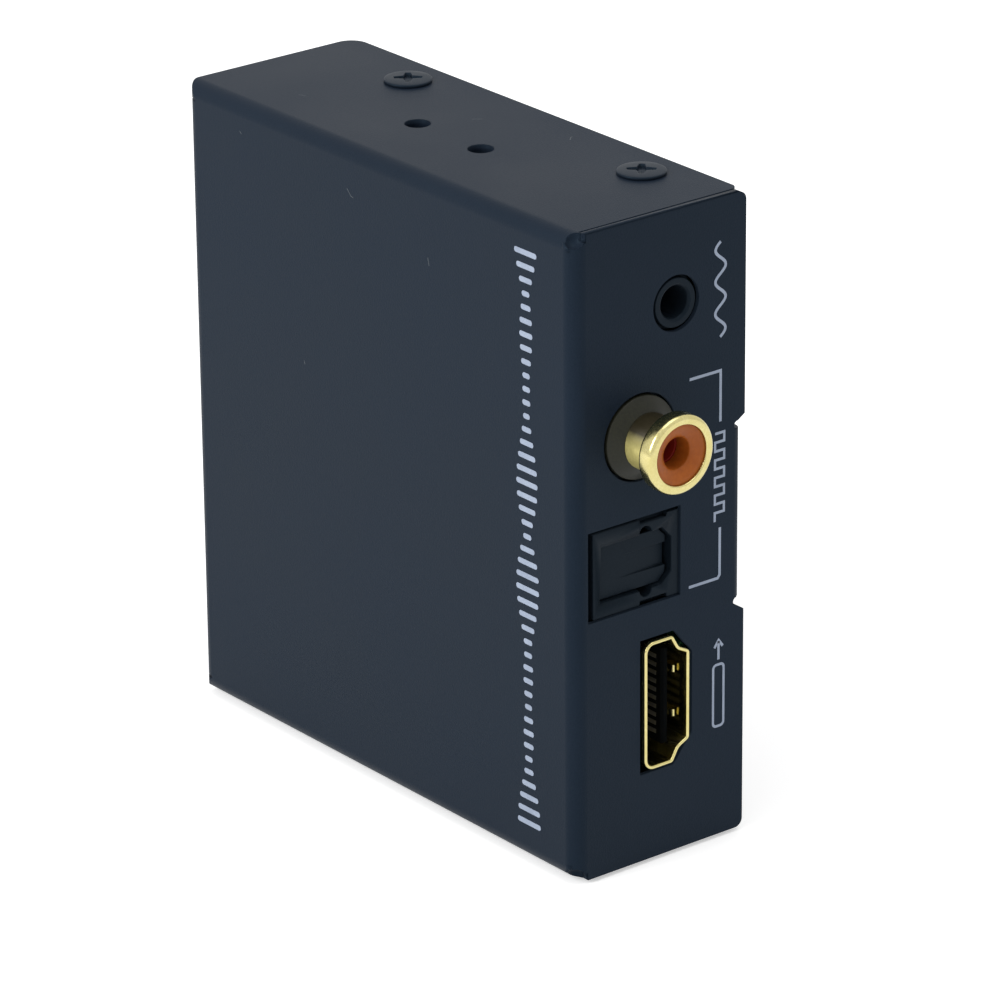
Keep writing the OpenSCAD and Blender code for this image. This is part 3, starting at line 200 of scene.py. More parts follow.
def grain_group():
    """Grain: two colours mixed by a fine noise times a cloudy one, with a roughness from the same
    product and a bump from the fine noise."""
    group = bpy.data.node_groups.new("fine_grain", "ShaderNodeTree")
    face = group.interface
    for name, kind, value in (("Colour", "NodeSocketColor", (0.5, 0.5, 0.5, 1)),
                              ("Grain Colour", "NodeSocketColor", (0.5, 0.5, 0.5, 1)),
                              ("Grains Per Metre", "NodeSocketFloat", 4000.0),
                              ("Cloud Per Metre", "NodeSocketFloat", 60.0),
                              ("Depth", "NodeSocketFloat", 0.1),
                              ("Smoothest", "NodeSocketFloat", 0.3),
                              ("Roughest", "NodeSocketFloat", 0.5)):
        socket = face.new_socket(name, in_out="INPUT", socket_type=kind)
        socket.default_value = value
    for name, kind in (("Colour", "NodeSocketColor"), ("Roughness", "NodeSocketFloat"),
                       ("Normal", "NodeSocketVector")):
        face.new_socket(name, in_out="OUTPUT", socket_type=kind)
    given, made = group.nodes.new("NodeGroupInput"), group.nodes.new("NodeGroupOutput")
    where = group.nodes.new("ShaderNodeTexCoord")
    fine, cloud = (group.nodes.new("ShaderNodeTexNoise") for _ in range(2))
    fine.inputs["Detail"].default_value = NOISE_DETAIL["fine"]
    cloud.inputs["Detail"].default_value = NOISE_DETAIL["cloud"]
    for noise, rate in ((fine, "Grains Per Metre"), (cloud, "Cloud Per Metre")):
        group.links.new(where.outputs["Object"], noise.inputs["Vector"])
        group.links.new(given.outputs[rate], noise.inputs["Scale"])
    both = group.nodes.new("ShaderNodeMath")
    both.operation = "MULTIPLY"
    group.links.new(fine.outputs["Fac"], both.inputs[0])
    group.links.new(cloud.outputs["Fac"], both.inputs[1])
    spread = group.nodes.new("ShaderNodeMapRange")
    spread.inputs["From Min"].default_value = NOISE_LOW
    spread.inputs["From Max"].default_value = NOISE_HIGH
    group.links.new(both.outputs[0], spread.inputs["Value"])
    tint = group.nodes.new("ShaderNodeMix")
    tint.data_type = "RGBA"
    group.links.new(spread.outputs[0], tint.inputs["Factor"])
    group.links.new(given.outputs["Colour"], tint.inputs["A"])
    group.links.new(given.outputs["Grain Colour"], tint.inputs["B"])
    rough = group.nodes.new("ShaderNodeMapRange")
    group.links.new(spread.outputs[0], rough.inputs["Value"])
    group.links.new(given.outputs["Smoothest"], rough.inputs["To Min"])
    group.links.new(given.outputs["Roughest"], rough.inputs["To Max"])
    bump = group.nodes.new("ShaderNodeBump")
    bump.inputs["Distance"].default_value = BUMP_METRES
    group.links.new(given.outputs["Depth"], bump.inputs["Strength"])
    group.links.new(fine.outputs["Fac"], bump.inputs["Height"])
    group.links.new(tint.outputs["Result"], made.inputs["Colour"])
    group.links.new(rough.outputs[0], made.inputs["Roughness"])
    group.links.new(bump.outputs[0], made.inputs["Normal"])
    return group


GRAIN = grain_group()


def finish_of(name, colour, grain_colour, grains=4000.0, cloud=60.0, depth=0.1, rough=(0.3, 0.5),
              metallic=0.0, specular=0.5, coat=0.0, tint=(1, 1, 1)):
    """Principled material whose colour, roughness and normal come from the grain group."""
    material = bpy.data.materials.new(name)
    material.use_nodes = True
    tree = material.node_tree
    shader = tree.nodes["Principled BSDF"]
    shader.inputs["Metallic"].default_value = metallic
    shader.inputs["Specular IOR Level"].default_value = specular
    shader.inputs["Specular Tint"].default_value = (*tint, 1)
    shader.inputs["Coat Weight"].default_value = coat
    grain = tree.nodes.new("ShaderNodeGroup")
    grain.name, grain.node_tree = "grain", GRAIN
    for socket, value in (("Colour", (*colour, 1)), ("Grain Colour", (*grain_colour, 1)),
                          ("Grains Per Metre", grains), ("Cloud Per Metre", cloud), ("Depth", depth),
                          ("Smoothest", rough[0]), ("Roughest", rough[1])):
        grain.inputs[socket].default_value = value
    tree.links.new(grain.outputs["Colour"], shader.inputs["Base Color"])
    tree.links.new(grain.outputs["Roughness"], shader.inputs["Roughness"])
    tree.links.new(grain.outputs["Normal"], shader.inputs["Normal"])
    return material


def dress(piece, material, body, slot, *nodes):
    """Gives a finished piece its material and the body that it rides on, and hides the CAD nodes that it
    stands for. The slot is not used. A piece that bends between two bodies rides on None."""
    piece.data.materials.clear()
    piece.data.materials.append(material)
    if body:
        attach(piece, body)
    if nodes:
        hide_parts(*nodes)
    return piece


# Vertices nearer than the gap are one, and faces turn flat or sharp by these angles. A rounded
# edge needs this many widths of room, and the last two are cosines between neighbouring edges.
JOINED_GAP, FLAT_DEGREES, SHARP_DEGREES = 0.001, 0.2, 25.0
ROOM_IN_EDGES = 2.5
SAME_LINE, TOO_SHALLOW = 0.8, 0.94
LARGE_FACES_FIRST = 100


def formed(node, name, edge, segments=2, place=lambda point: True):
    """Copy of a CAD solid with its loose triangles merged and its flat faces joined. Its sharp
    edges are rounded by edge mm where place says so, but a line of edges from which a short edge
    turns off stays sharp, as there is no room for it. The large faces keep their own normals."""
    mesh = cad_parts[node].data.copy()
    mesh.name = name
    shape = bmesh.new()
    shape.from_mesh(mesh)
    bmesh.ops.remove_doubles(shape, verts=shape.verts, dist=JOINED_GAP * MM)
    bmesh.ops.dissolve_limit(shape, angle_limit=math.radians(FLAT_DEGREES), verts=shape.verts,
                             edges=shape.edges)
    rolled = shape.edges.layers.float.new("bevel_weight_edge")
    sharp = {line for line in shape.edges if len(line.link_faces) == 2
             and line.calc_face_angle() > math.radians(SHARP_DEGREES)
             and place((line.verts[0].co + line.verts[1].co) / 2 / MM)}
    ways = {line: (line.verts[1].co - line.verts[0].co).normalized() for line in shape.edges}
    near = {line: [other for end in line.verts for other in end.link_edges if other is not line]
            for line in sharp}

    def along(line, other):
        """1 where two edges run the same way, 0 where they stand square."""
        return abs(ways[other].dot(ways[line]))

    def has_room(line):
        """Every edge at the line's ends is long, or carries the line on, and no flat one leaves it
        at a shallow angle."""
        return all((other.calc_length() > ROOM_IN_EDGES * edge * MM
                    or other in sharp and along(line, other) > SAME_LINE)
                   and (other in sharp or along(line, other) < TOO_SHALLOW) for other in near[line])

    free = {line for line in sharp if has_room(line)}
    held = sharp - free
    while held:
        held = {other for line in held for other in near[line]
                if other in free and along(line, other) > SAME_LINE}
        free -= held
    for line in free:
        line[rolled] = 1.0
    shape.to_mesh(mesh)
    shape.free()
    mesh.shade_smooth()
    piece = bpy.data.objects.new(name, mesh)
    bpy.context.scene.collection.objects.link(piece)
    bevel = piece.modifiers.new("edges", "BEVEL")
    bevel.width, bevel.segments, bevel.limit_method = edge * MM, segments, "WEIGHT"
    bevel.use_clamp_overlap = False
    weighted = piece.modifiers.new("flat_faces", "WEIGHTED_NORMAL")
    weighted.mode, weighted.weight = "FACE_AREA_WITH_ANGLE", LARGE_FACES_FIRST
    return piece


COAT = finish_of("powder_coat", (0.0080, 0.0130, 0.0225), (0.0112, 0.0172, 0.0290), grains=5200,
                 cloud=35, depth=0.22, rough=(0.40, 0.54), specular=0.10, tint=(0.5, 0.8, 1.0))
COVER_EDGE = 0.2
FOLD_LOW, FOLD_HIGH = 0.9, 74.1

dress(formed("cover_shell", "folded_cover", COVER_EDGE, segments=3,
             place=lambda point: not FOLD_LOW < point.z < FOLD_HIGH),
      COAT, "root", "case_paint", "cover_shell")
dress(formed("base_plate", "base_sheet", 0.0), COAT, "root", "case_paint", "base_plate")


# The print on the cover is white ink, a film raised by a few hundredths of a millimetre. A row of
# level bars runs up the broad face, and signs for sound, pulses and a screen stand by the sockets.

INK = finish_of("white_ink", (0.27, 0.32, 0.42), (0.36, 0.42, 0.53), grains=9000, cloud=400,
                depth=0.15, rough=(0.45, 0.6), specular=0.3)
INK_FILM = 0.03
SUNK = -0.02
CRISP_DEGREES = 40
SEAM_GAP, SMALLEST_R = 0.0005, 0.002
FACE_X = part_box("cover_shell")[0].x / MM
FRONT_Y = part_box("cover_shell")[0].y / MM


def rounded(corners, radii, steps=6):
    """Closed outline whose corners are arcs of the given radii, as rows of two numbers. A point of
    an arc is its first and its last spoke, mixed by the sines of the turn left and the turn done."""
    p = np.asarray(corners, float)
    r = np.broadcast_to(np.maximum(radii, SMALLEST_R), len(p))[:, None]
    back, on = np.roll(p, 1, 0) - p, np.roll(p, -1, 0) - p
    back, on = (w / np.linalg.norm(w, axis=1, keepdims=True) for w in (back, on))
    half = np.arccos(np.clip((back * on).sum(1, keepdims=True), -1, 1)) / 2
    middle = p + (back + on) / np.linalg.norm(back + on, axis=1, keepdims=True) * r / np.sin(half)
    a, b = (p + w * r / np.tan(half) - middle for w in (back, on))
    turn, t = (np.pi - 2 * half)[:, :, None], np.linspace(0, 1, steps + 1)[None, :, None]
    arc = (np.sin((1 - t) * turn) * a[:, None] + np.sin(t * turn) * b[:, None]) / np.sin(turn)
    return (middle[:, None] + arc).reshape(-1, 2)


def stroke(path, width):
    """Outline of a line of even width along a path of corners. Each corner is offset along the mean
    of its two sides' normals, by half the width over the cosine between them."""
    p = np.asarray(path, float)
    way = np.diff(p, axis=0)
    way /= np.linalg.norm(way, axis=1, keepdims=True)
    side = np.column_stack([-way[:, 1], way[:, 0]])
    joint = np.concatenate([side[:1], side[:-1] + side[1:], side[-1:]])
    joint /= np.linalg.norm(joint, axis=1, keepdims=True)
    first = np.concatenate([side[:1], side])
    joint *= width / 2 / (joint * first).sum(1, keepdims=True)
    return np.concatenate([p + joint, (p - joint)[::-1]])


def film(outline, place, bottom=SUNK, top=INK_FILM):
    """Solid on an outline, between two heights: place turns rows of (across, up) and a height into
    points."""
    n = len(outline)
    i = np.arange(n)
    sides = np.column_stack([i, (i + 1) % n, n + (i + 1) % n, n + i])
    points = np.concatenate([place(outline, bottom), place(outline, top)])
    return points, [*sides, i, n + i]


def on_face(outline, out):
    """Points on the broad printed face: across is Y, up is Z."""
    return np.column_stack([np.full(len(outline), FACE_X - out), outline[:, 0], outline[:, 1]])


def on_panel(outline, out):
    """Points on the output panel: across is X, up is Z."""
    return np.column_stack([outline[:, 0], np.full(len(outline), FRONT_Y - out), outline[:, 1]])


def solid_of(name, parts, sharp=180.0):
    """Closed mesh from parts of (points in mm, faces): seams and poles merged, normals outwards,
    and edges over sharp degrees left sharp."""
    points, faces, count = [], [], 0
    for some, joined in parts:
        points.append(np.asarray(some, float).reshape(-1, 3))
        faces += [(count + face).tolist() for face in joined]
        count += len(points[-1])
    mesh = bpy.data.meshes.new(name)
    mesh.from_pydata((np.concatenate(points) * MM).tolist(), [], faces)
    shape = bmesh.new()
    shape.from_mesh(mesh)
    bmesh.ops.remove_doubles(shape, verts=shape.verts, dist=SEAM_GAP * MM)
    bmesh.ops.recalc_face_normals(shape, faces=shape.faces)
    shape.to_mesh(mesh)
    shape.free()
    mesh.shade_smooth()
    if sharp < 180:
        mesh.set_sharp_from_angle(angle=math.radians(sharp))
    piece = bpy.data.objects.new(name, mesh)
    bpy.context.scene.collection.objects.link(piece)
    return piece


# The bars' place across the face and their rows. A bar's reach swings with its height as a sine
# times a slower cosine.
BARS_Y, BARS_LOW, BARS_HIGH, BAR_PITCH = -26.55, 4.6, 71.5, 1.55
BAR_HALF, BAR_CORNER = 0.31, 0.28
BAR_SHORTEST, BAR_SWING = 0.55, 1.55
BEAT, BEAT_START, SLOW_BEAT = 0.231, 0.4, 0.083

bars = []
for z in np.arange(BARS_LOW, BARS_HIGH, BAR_PITCH):
    reach = BAR_SHORTEST + BAR_SWING * abs(math.sin(BEAT * z + BEAT_START) * math.cos(SLOW_BEAT * z))
    corners = [(BARS_Y - reach, z - BAR_HALF), (BARS_Y + reach, z - BAR_HALF),
               (BARS_Y + reach, z + BAR_HALF), (BARS_Y - reach, z + BAR_HALF)]
    bars.append(film(rounded(corners, BAR_CORNER, steps=4), on_face))
dress(solid_of("level_bars", bars, CRISP_DEGREES), INK, "root", "case_paint")

# Signs on the panel, as places across and up: a wave of three turns, square pulses, a screen with
# an arrow out of it, and the two brackets that join the pulses to their sockets.
WAVE_X, WAVE_SWING, WAVE_LOW, WAVE_LENGTH, WAVE_TURNS, WAVE_POINTS = 9.7, 0.72, 59.1, 10.9, 3, 90
PULSE_X, PULSE_SWING, PULSE_LOW, PULSE_STEP, PULSE_CORNERS = 9.05, 1.3, 37.7, 1.03, 21
SCREEN, SCREEN_CORNER = [(8.95, 13.2), (10.45, 13.2), (10.45, 20.6), (8.95, 20.6)], 0.45
ARROW_SHAFT, ARROW_HEAD = [(9.7, 21.2), (9.7, 23.4)], [(9.1, 22.7), (9.7, 23.5), (10.3, 22.7)]
UPPER_BRACKET = [(5.40, 55.2), (9.79, 55.2), (9.79, 49.3)]
LOWER_BRACKET = [(9.79, 36.9), (9.79, 31.3), (9.5, 30.95), (5.40, 30.95)]
WAVE_LINE, PULSE_LINE, SCREEN_LINE, ARROW_LINE, BRACKET_LINE = 0.34, 0.30, 0.30, 0.32, 0.33

wave_z = np.linspace(WAVE_LOW, WAVE_LOW + WAVE_LENGTH, WAVE_POINTS)
turns = (wave_z - WAVE_LOW) / WAVE_LENGTH * WAVE_TURNS
wave = np.column_stack([WAVE_X + WAVE_SWING * np.sin(2 * np.pi * turns), wave_z])
corner = np.arange(PULSE_CORNERS)
pulses = np.column_stack([PULSE_X + PULSE_SWING * (corner // 2 % 2),
                          PULSE_LOW + PULSE_STEP * ((corner + 1) // 2)])
screen = rounded(SCREEN, SCREEN_CORNER)
signs = [film(stroke(path, width), on_panel) for path, width in (
    (wave, WAVE_LINE), (pulses, PULSE_LINE), (np.concatenate([screen, screen[:1]]), SCREEN_LINE),
    (ARROW_SHAFT, ARROW_LINE), (ARROW_HEAD, ARROW_LINE), (UPPER_BRACKET, BRACKET_LINE),
    (LOWER_BRACKET, BRACKET_LINE))]
dress(solid_of("socket_signs", signs, CRISP_DEGREES), INK, "root", "case_paint")


# Hairline rubs of a used sample: short pale marks where something hard has touched the powder
# coat of the top and of the printed face. Each lies a few thousandths of a millimetre high.

RUB = finish_of("rubbed_coat", (0.060, 0.072, 0.080), (0.100, 0.115, 0.125), grains=9000, cloud=900,
                depth=0.2, rough=(0.4, 0.6), specular=0.2)
RUB_WIDTH, RUB_FILM = 0.07, 0.008
TOP_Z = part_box("cover_shell")[1].z / MM


def on_top(outline, out):
    """Points on the upper narrow side: across is X, along is Y."""
    return np.column_stack([outline[:, 0], outline[:, 1], np.full(len(outline), TOP_Z + out)])


rubs = [film(stroke(path, RUB_WIDTH), place, top=RUB_FILM) for path, place in (
    ([(9.3, -9.6), (9.9, -9.0), (10.2, -8.9)], on_top), ([(5.5, 2.9), (6.4, 2.2)], on_top),
    ([(-4.0, 22.1), (-3.7, 21.2)], on_top), ([(4.6, 70.1), (3.9, 69.4), (3.5, 69.3)], on_face),
    ([(24.3, 71.6), (24.0, 71.3)], on_face), ([(-9.7, 66.0), (-9.9, 65.1)], on_face),
    ([(13.2, 47.4), (13.0, 47.0)], on_face))]
dress(solid_of("hairline_rubs", rubs, CRISP_DEGREES), RUB, "root", "case_paint")


# Four pan-head screws of blackened steel hold the cover to the base's flanges. Each head is a low
# dome, and its cross recess narrows towards the ends of its arms and deepens towards the middle.

BLACK_SCREW = finish_of("black_screw", (0.0075, 0.0120, 0.0200), (0.0110, 0.0165, 0.0260), grains=7000,
                        cloud=300, depth=0.10, rough=(0.36, 0.48), specular=0.12, tint=(0.5, 0.8, 1.0))
# The dome's rim and rise are shares of its height. The cross is in mm, but its taper and its rise
# are falls per mm along an arm.
HEAD_STEPS = 144
FLAT_SHARE, FLAT_RINGS, EDGE_RINGS = 0.8, 34, 12
DOME_RIM, DOME_RISE, DOME_ROUND = 0.58, 0.42, 0.7
CROSS_HALF, CROSS_TAPER, CROSS_REACH, CROSS_WALL = 0.60, 0.20, 1.60, 0.08
CROSS_DEPTH, CROSS_RISE = 1.25, 0.36
SHANK_R, SHANK_TIP_R, SHANK_TOP, SHANK_END, SHANK_TIP, SHANK_STEPS = 1.42, 1.1, 0.1, -5.2, -5.6, 32
UPPER_TURN, LOWER_TURN = 0.90, 0.84


def quads(rows, columns, wrap_rows=True, wrap_columns=True):
    """Faces of a grid of points, closed on itself along its rows or its columns."""
    i = np.arange(rows if wrap_rows else rows - 1)[:, None]
    j = np.arange(columns if wrap_columns else columns - 1)[None, :]
    k, m = (i + 1) % rows, (j + 1) % columns
    return np.stack(np.broadcast_arrays(i * columns + j, i * columns + m, k * columns + m,
                                        k * columns + j), -1).reshape(-1, 4)


def screw_head(radius, height, turn):
    """Dome: its rim's share of the height, and a rise that is a power of the half circle over the
    radius. The recess goes down by a depth that falls along the nearer arm, inside its walls."""
    r = np.concatenate([np.linspace(0, FLAT_SHARE, FLAT_RINGS),
                        np.linspace(FLAT_SHARE, 1, EDGE_RINGS)[1:]])[None, :] * radius
    a = np.linspace(0, 2 * np.pi, HEAD_STEPS, endpoint=False)[:, None]
    x, y = r * np.cos(a), r * np.sin(a)
    half_circle = np.sqrt(np.clip(1 - (r / radius) ** 2, 0, 1))
    dome = height * (DOME_RIM + DOME_RISE * half_circle ** DOME_ROUND)
    c, s = math.cos(turn), math.sin(turn)
    u, v = x * c + y * s, y * c - x * s
    across, along = np.minimum(abs(u), abs(v)), np.maximum(abs(u), abs(v))
    arm = CROSS_HALF - CROSS_TAPER * along
    inside = (np.clip((arm - across) / CROSS_WALL, 0, 1)
              * np.clip((CROSS_REACH - along) / CROSS_WALL, 0, 1))
    depth = CROSS_DEPTH * np.clip(1 - CROSS_RISE * along, 0, 1)
    top = np.stack([x, y, dome - inside * depth], -1)
    rim = np.stack([x[:, -1:], y[:, -1:], 0 * x[:, -1:] + SUNK], -1)
    middle = np.zeros((HEAD_STEPS, 1, 3))
    middle[:, :, 2] = SUNK
    grid = np.concatenate([top, rim, middle], 1)
    return grid.reshape(-1, 3), quads(HEAD_STEPS, grid.shape[1], True, False)


def side_screws():
    """Heads on both narrow sides, and a shank's profile carried round each screw's axis."""
    low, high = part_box("side_screws")
    radius = (high.x - low.x) / MM / 2
    x = (low.x + high.x) / MM / 2
    stand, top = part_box("cover_shell")[0].z / MM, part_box("cover_shell")[1].z / MM
    height = high.z / MM - top
    shank = rounded([(0, SHANK_TOP), (SHANK_R, SHANK_TOP), (SHANK_R, SHANK_END),
                     (SHANK_TIP_R, SHANK_TIP), (0, SHANK_TIP)], 0.05, steps=2)
    a = np.linspace(0, 2 * np.pi, SHANK_STEPS, endpoint=False)[:, None]
    bolt = np.stack(np.broadcast_arrays(shank[:, 0] * np.cos(a), shank[:, 0] * np.sin(a),
                                        shank[:, 1]), -1)
    bolt_faces = quads(SHANK_STEPS, len(shank))
    parts = []
    for side, z in ((1, top), (-1, stand)):
        for y, turn in ((high.y / MM - radius, UPPER_TURN), (low.y / MM + radius, LOWER_TURN)):
            points, faces = screw_head(radius, height, turn)
            for some, joined in ((points, faces), (bolt.reshape(-1, 3), bolt_faces)):
                parts.append((some * (1, side, side) + (x, y, z), joined))
    return solid_of("cover_screws", parts)


dress(side_screws(), BLACK_SCREW, "root", "black_screw", "side_screws")


# The coaxial socket: a turned and plated sleeve with a flange and taper, a bright neck and a rolled
# ring, pressed round an orange moulding. The flange and taper are coloured dark as a painted
# reflection, and the neck's upper side as painted shade. The moulding holds a slotted clip, coloured
# deep red as painted shade of its hole, and a leg goes from the sleeve's end to the board.

GOLD = finish_of("pale_gold", (0.56, 0.49, 0.20), (0.66, 0.59, 0.28), grains=3500, cloud=500,
                 depth=0.05, rough=(0.14, 0.26), metallic=1.0)
# Gold plated like the ring, but coloured a dark dull olive and not metallic: painted dark reflection.
FLANGE_GOLD_PAINTED_DARK = finish_of("gold_painted_dark_reflection", (0.0120, 0.0128, 0.0085), (0.0200, 0.0205, 0.0125), grains=3500,
                      cloud=300, depth=0.08, rough=(0.30, 0.45), metallic=0.0, specular=0.2)
NECK_GOLD_PAINTED_SHADE = finish_of("satin_gold_painted_shade", (0.50, 0.44, 0.15), (0.62, 0.55, 0.21), grains=3500, cloud=500,
                      depth=0.05, rough=(0.34, 0.46), metallic=0.45)
# The clip is coloured deep red instead of plated metal: painted shade of the orange moulding's hole.
CLIP_PAINTED_RED_SHADE = finish_of("clip_painted_red_shade", (0.30, 0.020, 0.012), (0.36, 0.030, 0.016), grains=3500, cloud=500,
                 depth=0.05, rough=(0.3, 0.45), specular=0.4)
ORANGE = finish_of("orange_plastic", (0.32, 0.078, 0.010), (0.40, 0.105, 0.014), grains=2500,
                   cloud=300, depth=0.08, rough=(0.30, 0.42), specular=0.22)


def paint_shade_above(material, colour, low, high):
    """Paints shade: mixes the grain's colour with a darker one, by the share of the way between two
    heights in mm that a point has gone."""
    tree = material.node_tree
    where = tree.nodes.new("ShaderNodeTexCoord")
    parts = tree.nodes.new("ShaderNodeSeparateXYZ")
    height = tree.nodes.new("ShaderNodeMapRange")
    height.inputs["From Min"].default_value, height.inputs["From Max"].default_value = low * MM, high * MM
    mix = tree.nodes.new("ShaderNodeMix")
    mix.data_type = "RGBA"
    mix.inputs["B"].default_value = (*colour, 1)
    tree.links.new(where.outputs["Object"], parts.inputs[0])
    tree.links.new(parts.outputs["Z"], height.inputs["Value"])
    tree.links.new(height.outputs[0], mix.inputs["Factor"])
    tree.links.new(tree.nodes["grain"].outputs["Colour"], mix.inputs["A"])
    tree.links.new(mix.outputs["Result"], tree.nodes["Principled BSDF"].inputs["Base Color"])


def turned(profile, steps, x, z, y):
    """A closed profile of rows (distance from the axis, height) carried round the Y axis. Height
    counts out of the panel, from y."""
    a = np.linspace(0, 2 * np.pi, steps, endpoint=False)[:, None]
    r, h = profile[:, 0], profile[:, 1]
    grid = np.stack(np.broadcast_arrays(x + r * np.cos(a), y - h, z + r * np.sin(a)), -1)
    return grid.reshape(-1, 3), quads(steps, len(profile))


# Sizes of the turned sleeve: heights count out of the panel, and those of the neck and the ring
# count back from the ring's outer end.
low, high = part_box("coax_sleeve")
COAX_X, COAX_Z = low.x / MM + (high.z - low.z) / MM / 2, (low.z + high.z) / MM / 2
COAX_OUT = FRONT_Y - low.y / MM
COAX_STEPS, COAX_SHARP = 96, 50
SHADE_COLOUR, SHADE_LOW, SHADE_HIGH = (0.030, 0.024, 0.010), 0.2, 1.9
BORE_R, NECK_R, RING_BORE_R, RING_R = 2.8, 3.2, 3.42, 4.5
NECK_BACK, NECK_END, RING_BACK = -6.0, COAX_OUT - 2.5, COAX_OUT - 2.75
FLARE_END, MOUTH_END, BORE_START = COAX_OUT - 1.95, COAX_OUT - 1.9, COAX_OUT - 2.2
FLANGE_BORE_R, FLANGE_TOP_R, FLANGE_R = 3.0, 3.24, 4.75
FLANGE_BACK, FLANGE_EDGE, FLANGE_OUT = -1.1, 0.14, 1.3
LEG_HALF, LEG_NEAR, LEG_FAR, LEG_FRONT, LEG_BACK = 0.6, 3.0, 7.5, 5.6, 6.0

# The neck's upper side is mixed towards a darker colour: painted shade.
paint_shade_above(NECK_GOLD_PAINTED_SHADE, SHADE_COLOUR, COAX_Z + SHADE_LOW, COAX_Z + SHADE_HIGH)
flange = rounded([(FLANGE_BORE_R, FLANGE_BACK), (FLANGE_R, FLANGE_BACK), (FLANGE_R, FLANGE_EDGE),
                  (FLANGE_TOP_R, FLANGE_OUT), (FLANGE_BORE_R, FLANGE_OUT)],
                 [0.05, 0.1, 0.22, 0.3, 0.05])
neck = rounded([(BORE_R, NECK_BACK), (NECK_R, NECK_BACK), (NECK_R, NECK_END), (BORE_R, NECK_END)],
               0.05, steps=2)
ring = rounded([(BORE_R, RING_BACK), (NECK_R, RING_BACK), (RING_R, FLARE_END), (RING_R, COAX_OUT),
                (RING_BORE_R, COAX_OUT), (RING_BORE_R, MOUTH_END), (BORE_R, BORE_START)],
               [0.1, 0.3, 0.45, 0.55, 0.2, 0.1, 0.1])
leg_shape = rounded([(-LEG_HALF, LEG_NEAR), (LEG_HALF, LEG_NEAR), (LEG_HALF, LEG_FAR),
                     (-LEG_HALF, LEG_FAR)], 0.1, steps=2)
leg = film(leg_shape, lambda flat, deep: np.column_stack(
    [COAX_X + flat[:, 1], np.full(len(flat), FRONT_Y + deep), COAX_Z + flat[:, 0]]),
           LEG_FRONT, LEG_BACK)
ring, neck, flange = (turned(profile, COAX_STEPS, COAX_X, COAX_Z, FRONT_Y)
                      for profile in (ring, neck, flange))
dress(solid_of("coax_ring", [ring], COAX_SHARP), GOLD, "root", "socket_gold", "coax_sleeve")
dress(solid_of("coax_neck", [neck, leg], COAX_SHARP), NECK_GOLD_PAINTED_SHADE, "root", "socket_gold")
dress(solid_of("coax_flange", [flange], COAX_SHARP), FLANGE_GOLD_PAINTED_DARK, "root", "socket_gold")
dress(formed("coax_insert", "coax_moulding", 0.1), ORANGE, "root", "orange_plastic", "coax_insert")
dress(formed("coax_centre_contact", "coax_clip", 0.04), CLIP_PAINTED_RED_SHADE, "root", "socket_gold",
      "coax_centre_contact")


# The four mounting holes of the narrow sides are drawn inwards into short collars, which gives
# them a softly rolled rim and enough depth for a thread. They are coated along with the cover.

HOLE_Y, HOLE_STEPS, HOLE_SHARP = 5.6, 64, 60
THREAD_R, THREAD_CUT, THREAD_START, THREAD_STEP, THREAD_CORNERS = 1.47, 0.09, -0.35, 0.17, 6
COLLAR_BACK = [(1.9, 0.012), (1.9, -0.12), (1.6, -0.3), (1.6, -1.2), (THREAD_R, -1.2)]
COLLAR_RIM = [(THREAD_R, -0.16), (1.52, -0.05), (1.62, 0.005)]


def hole_collars():
    """The collar's section, with its thread as a saw-tooth, carried round each hole's axis."""
    corner = np.arange(THREAD_CORNERS)
    thread = np.column_stack([THREAD_R - THREAD_CUT * (corner % 2),
                              THREAD_START - THREAD_STEP * corner])
    section = np.concatenate([rounded(COLLAR_BACK, 0.02, steps=2), thread[::-1], COLLAR_RIM])
    ring, faces = turned(section, HOLE_STEPS, 0, 0, 0)
    low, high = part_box("cover_shell")
    return solid_of("hole_collars", [
        (np.column_stack([ring[:, 0], ring[:, 2] + y, z / MM - side * ring[:, 1]]), faces)
        for y in (-HOLE_Y, HOLE_Y) for side, z in ((1, high.z), (-1, low.z))], HOLE_SHARP)


dress(hole_collars(), COAT, "root", "case_paint")


# The black mouldings, of satin plastic: the coaxial sleeve's seat, the stereo jack, the optical
# socket, the power socket and the light's holder, which are fixed on the board behind the panels,
# and the optical socket's dust shutter, which is clipped on a steel pin.

BLACK = finish_of("socket_black", (0.0062, 0.0104, 0.0158), (0.0090, 0.0138, 0.0198), grains=2600,
                  cloud=200, depth=0.10, rough=(0.34, 0.50), specular=0.08, tint=(0.6, 0.8, 1.0))


def dress_copies(material, body, slot, *rows):
    """Dresses a copy of the CAD solid of each row: its node, the new name and its edge in mm."""
    for node, name, edge in rows:
        dress(formed(node, name, edge), material, body, slot, node)


dress_copies(BLACK, "root", "socket_black",
             ("coax_housing", "coax_seat", 0.12),
             ("stereo_jack_body", "jack_moulding", 0.08),
             ("optical_housing", "optical_moulding", 0.12),
             ("power_jack_body", "power_moulding", 0.15),
             ("led_holder", "light_holder", 0.08))
dress_copies(BLACK, "shutter", "socket_black", ("optical_shutter", "dust_shutter", 0.08))


# The dust shutter's hinge pin and closing spring, of bright steel wire. The spring is a coil round
# the pin. Its short leg stays on the moulding and its long leg follows the shutter, so the coil
# winds up as the shutter opens.

STEEL = finish_of("bright_steel", (0.50, 0.51, 0.52), (0.62, 0.62, 0.62), grains=2500, cloud=600,
                  depth=0.05, rough=(0.22, 0.36), metallic=1.0)

dress_copies(STEEL, "root", "bright_steel", ("shutter_pin", "hinge_pin", 0.05))
spring = dress(formed("shutter_spring", "closing_spring", 0.0), STEEL, None, "bright_steel",
               "shutter_spring")
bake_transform(spring)


# Tin-plated contacts of the stereo jack and the power socket: strips cut and bent from sheet, and
# a turned pin in the middle of the power socket.

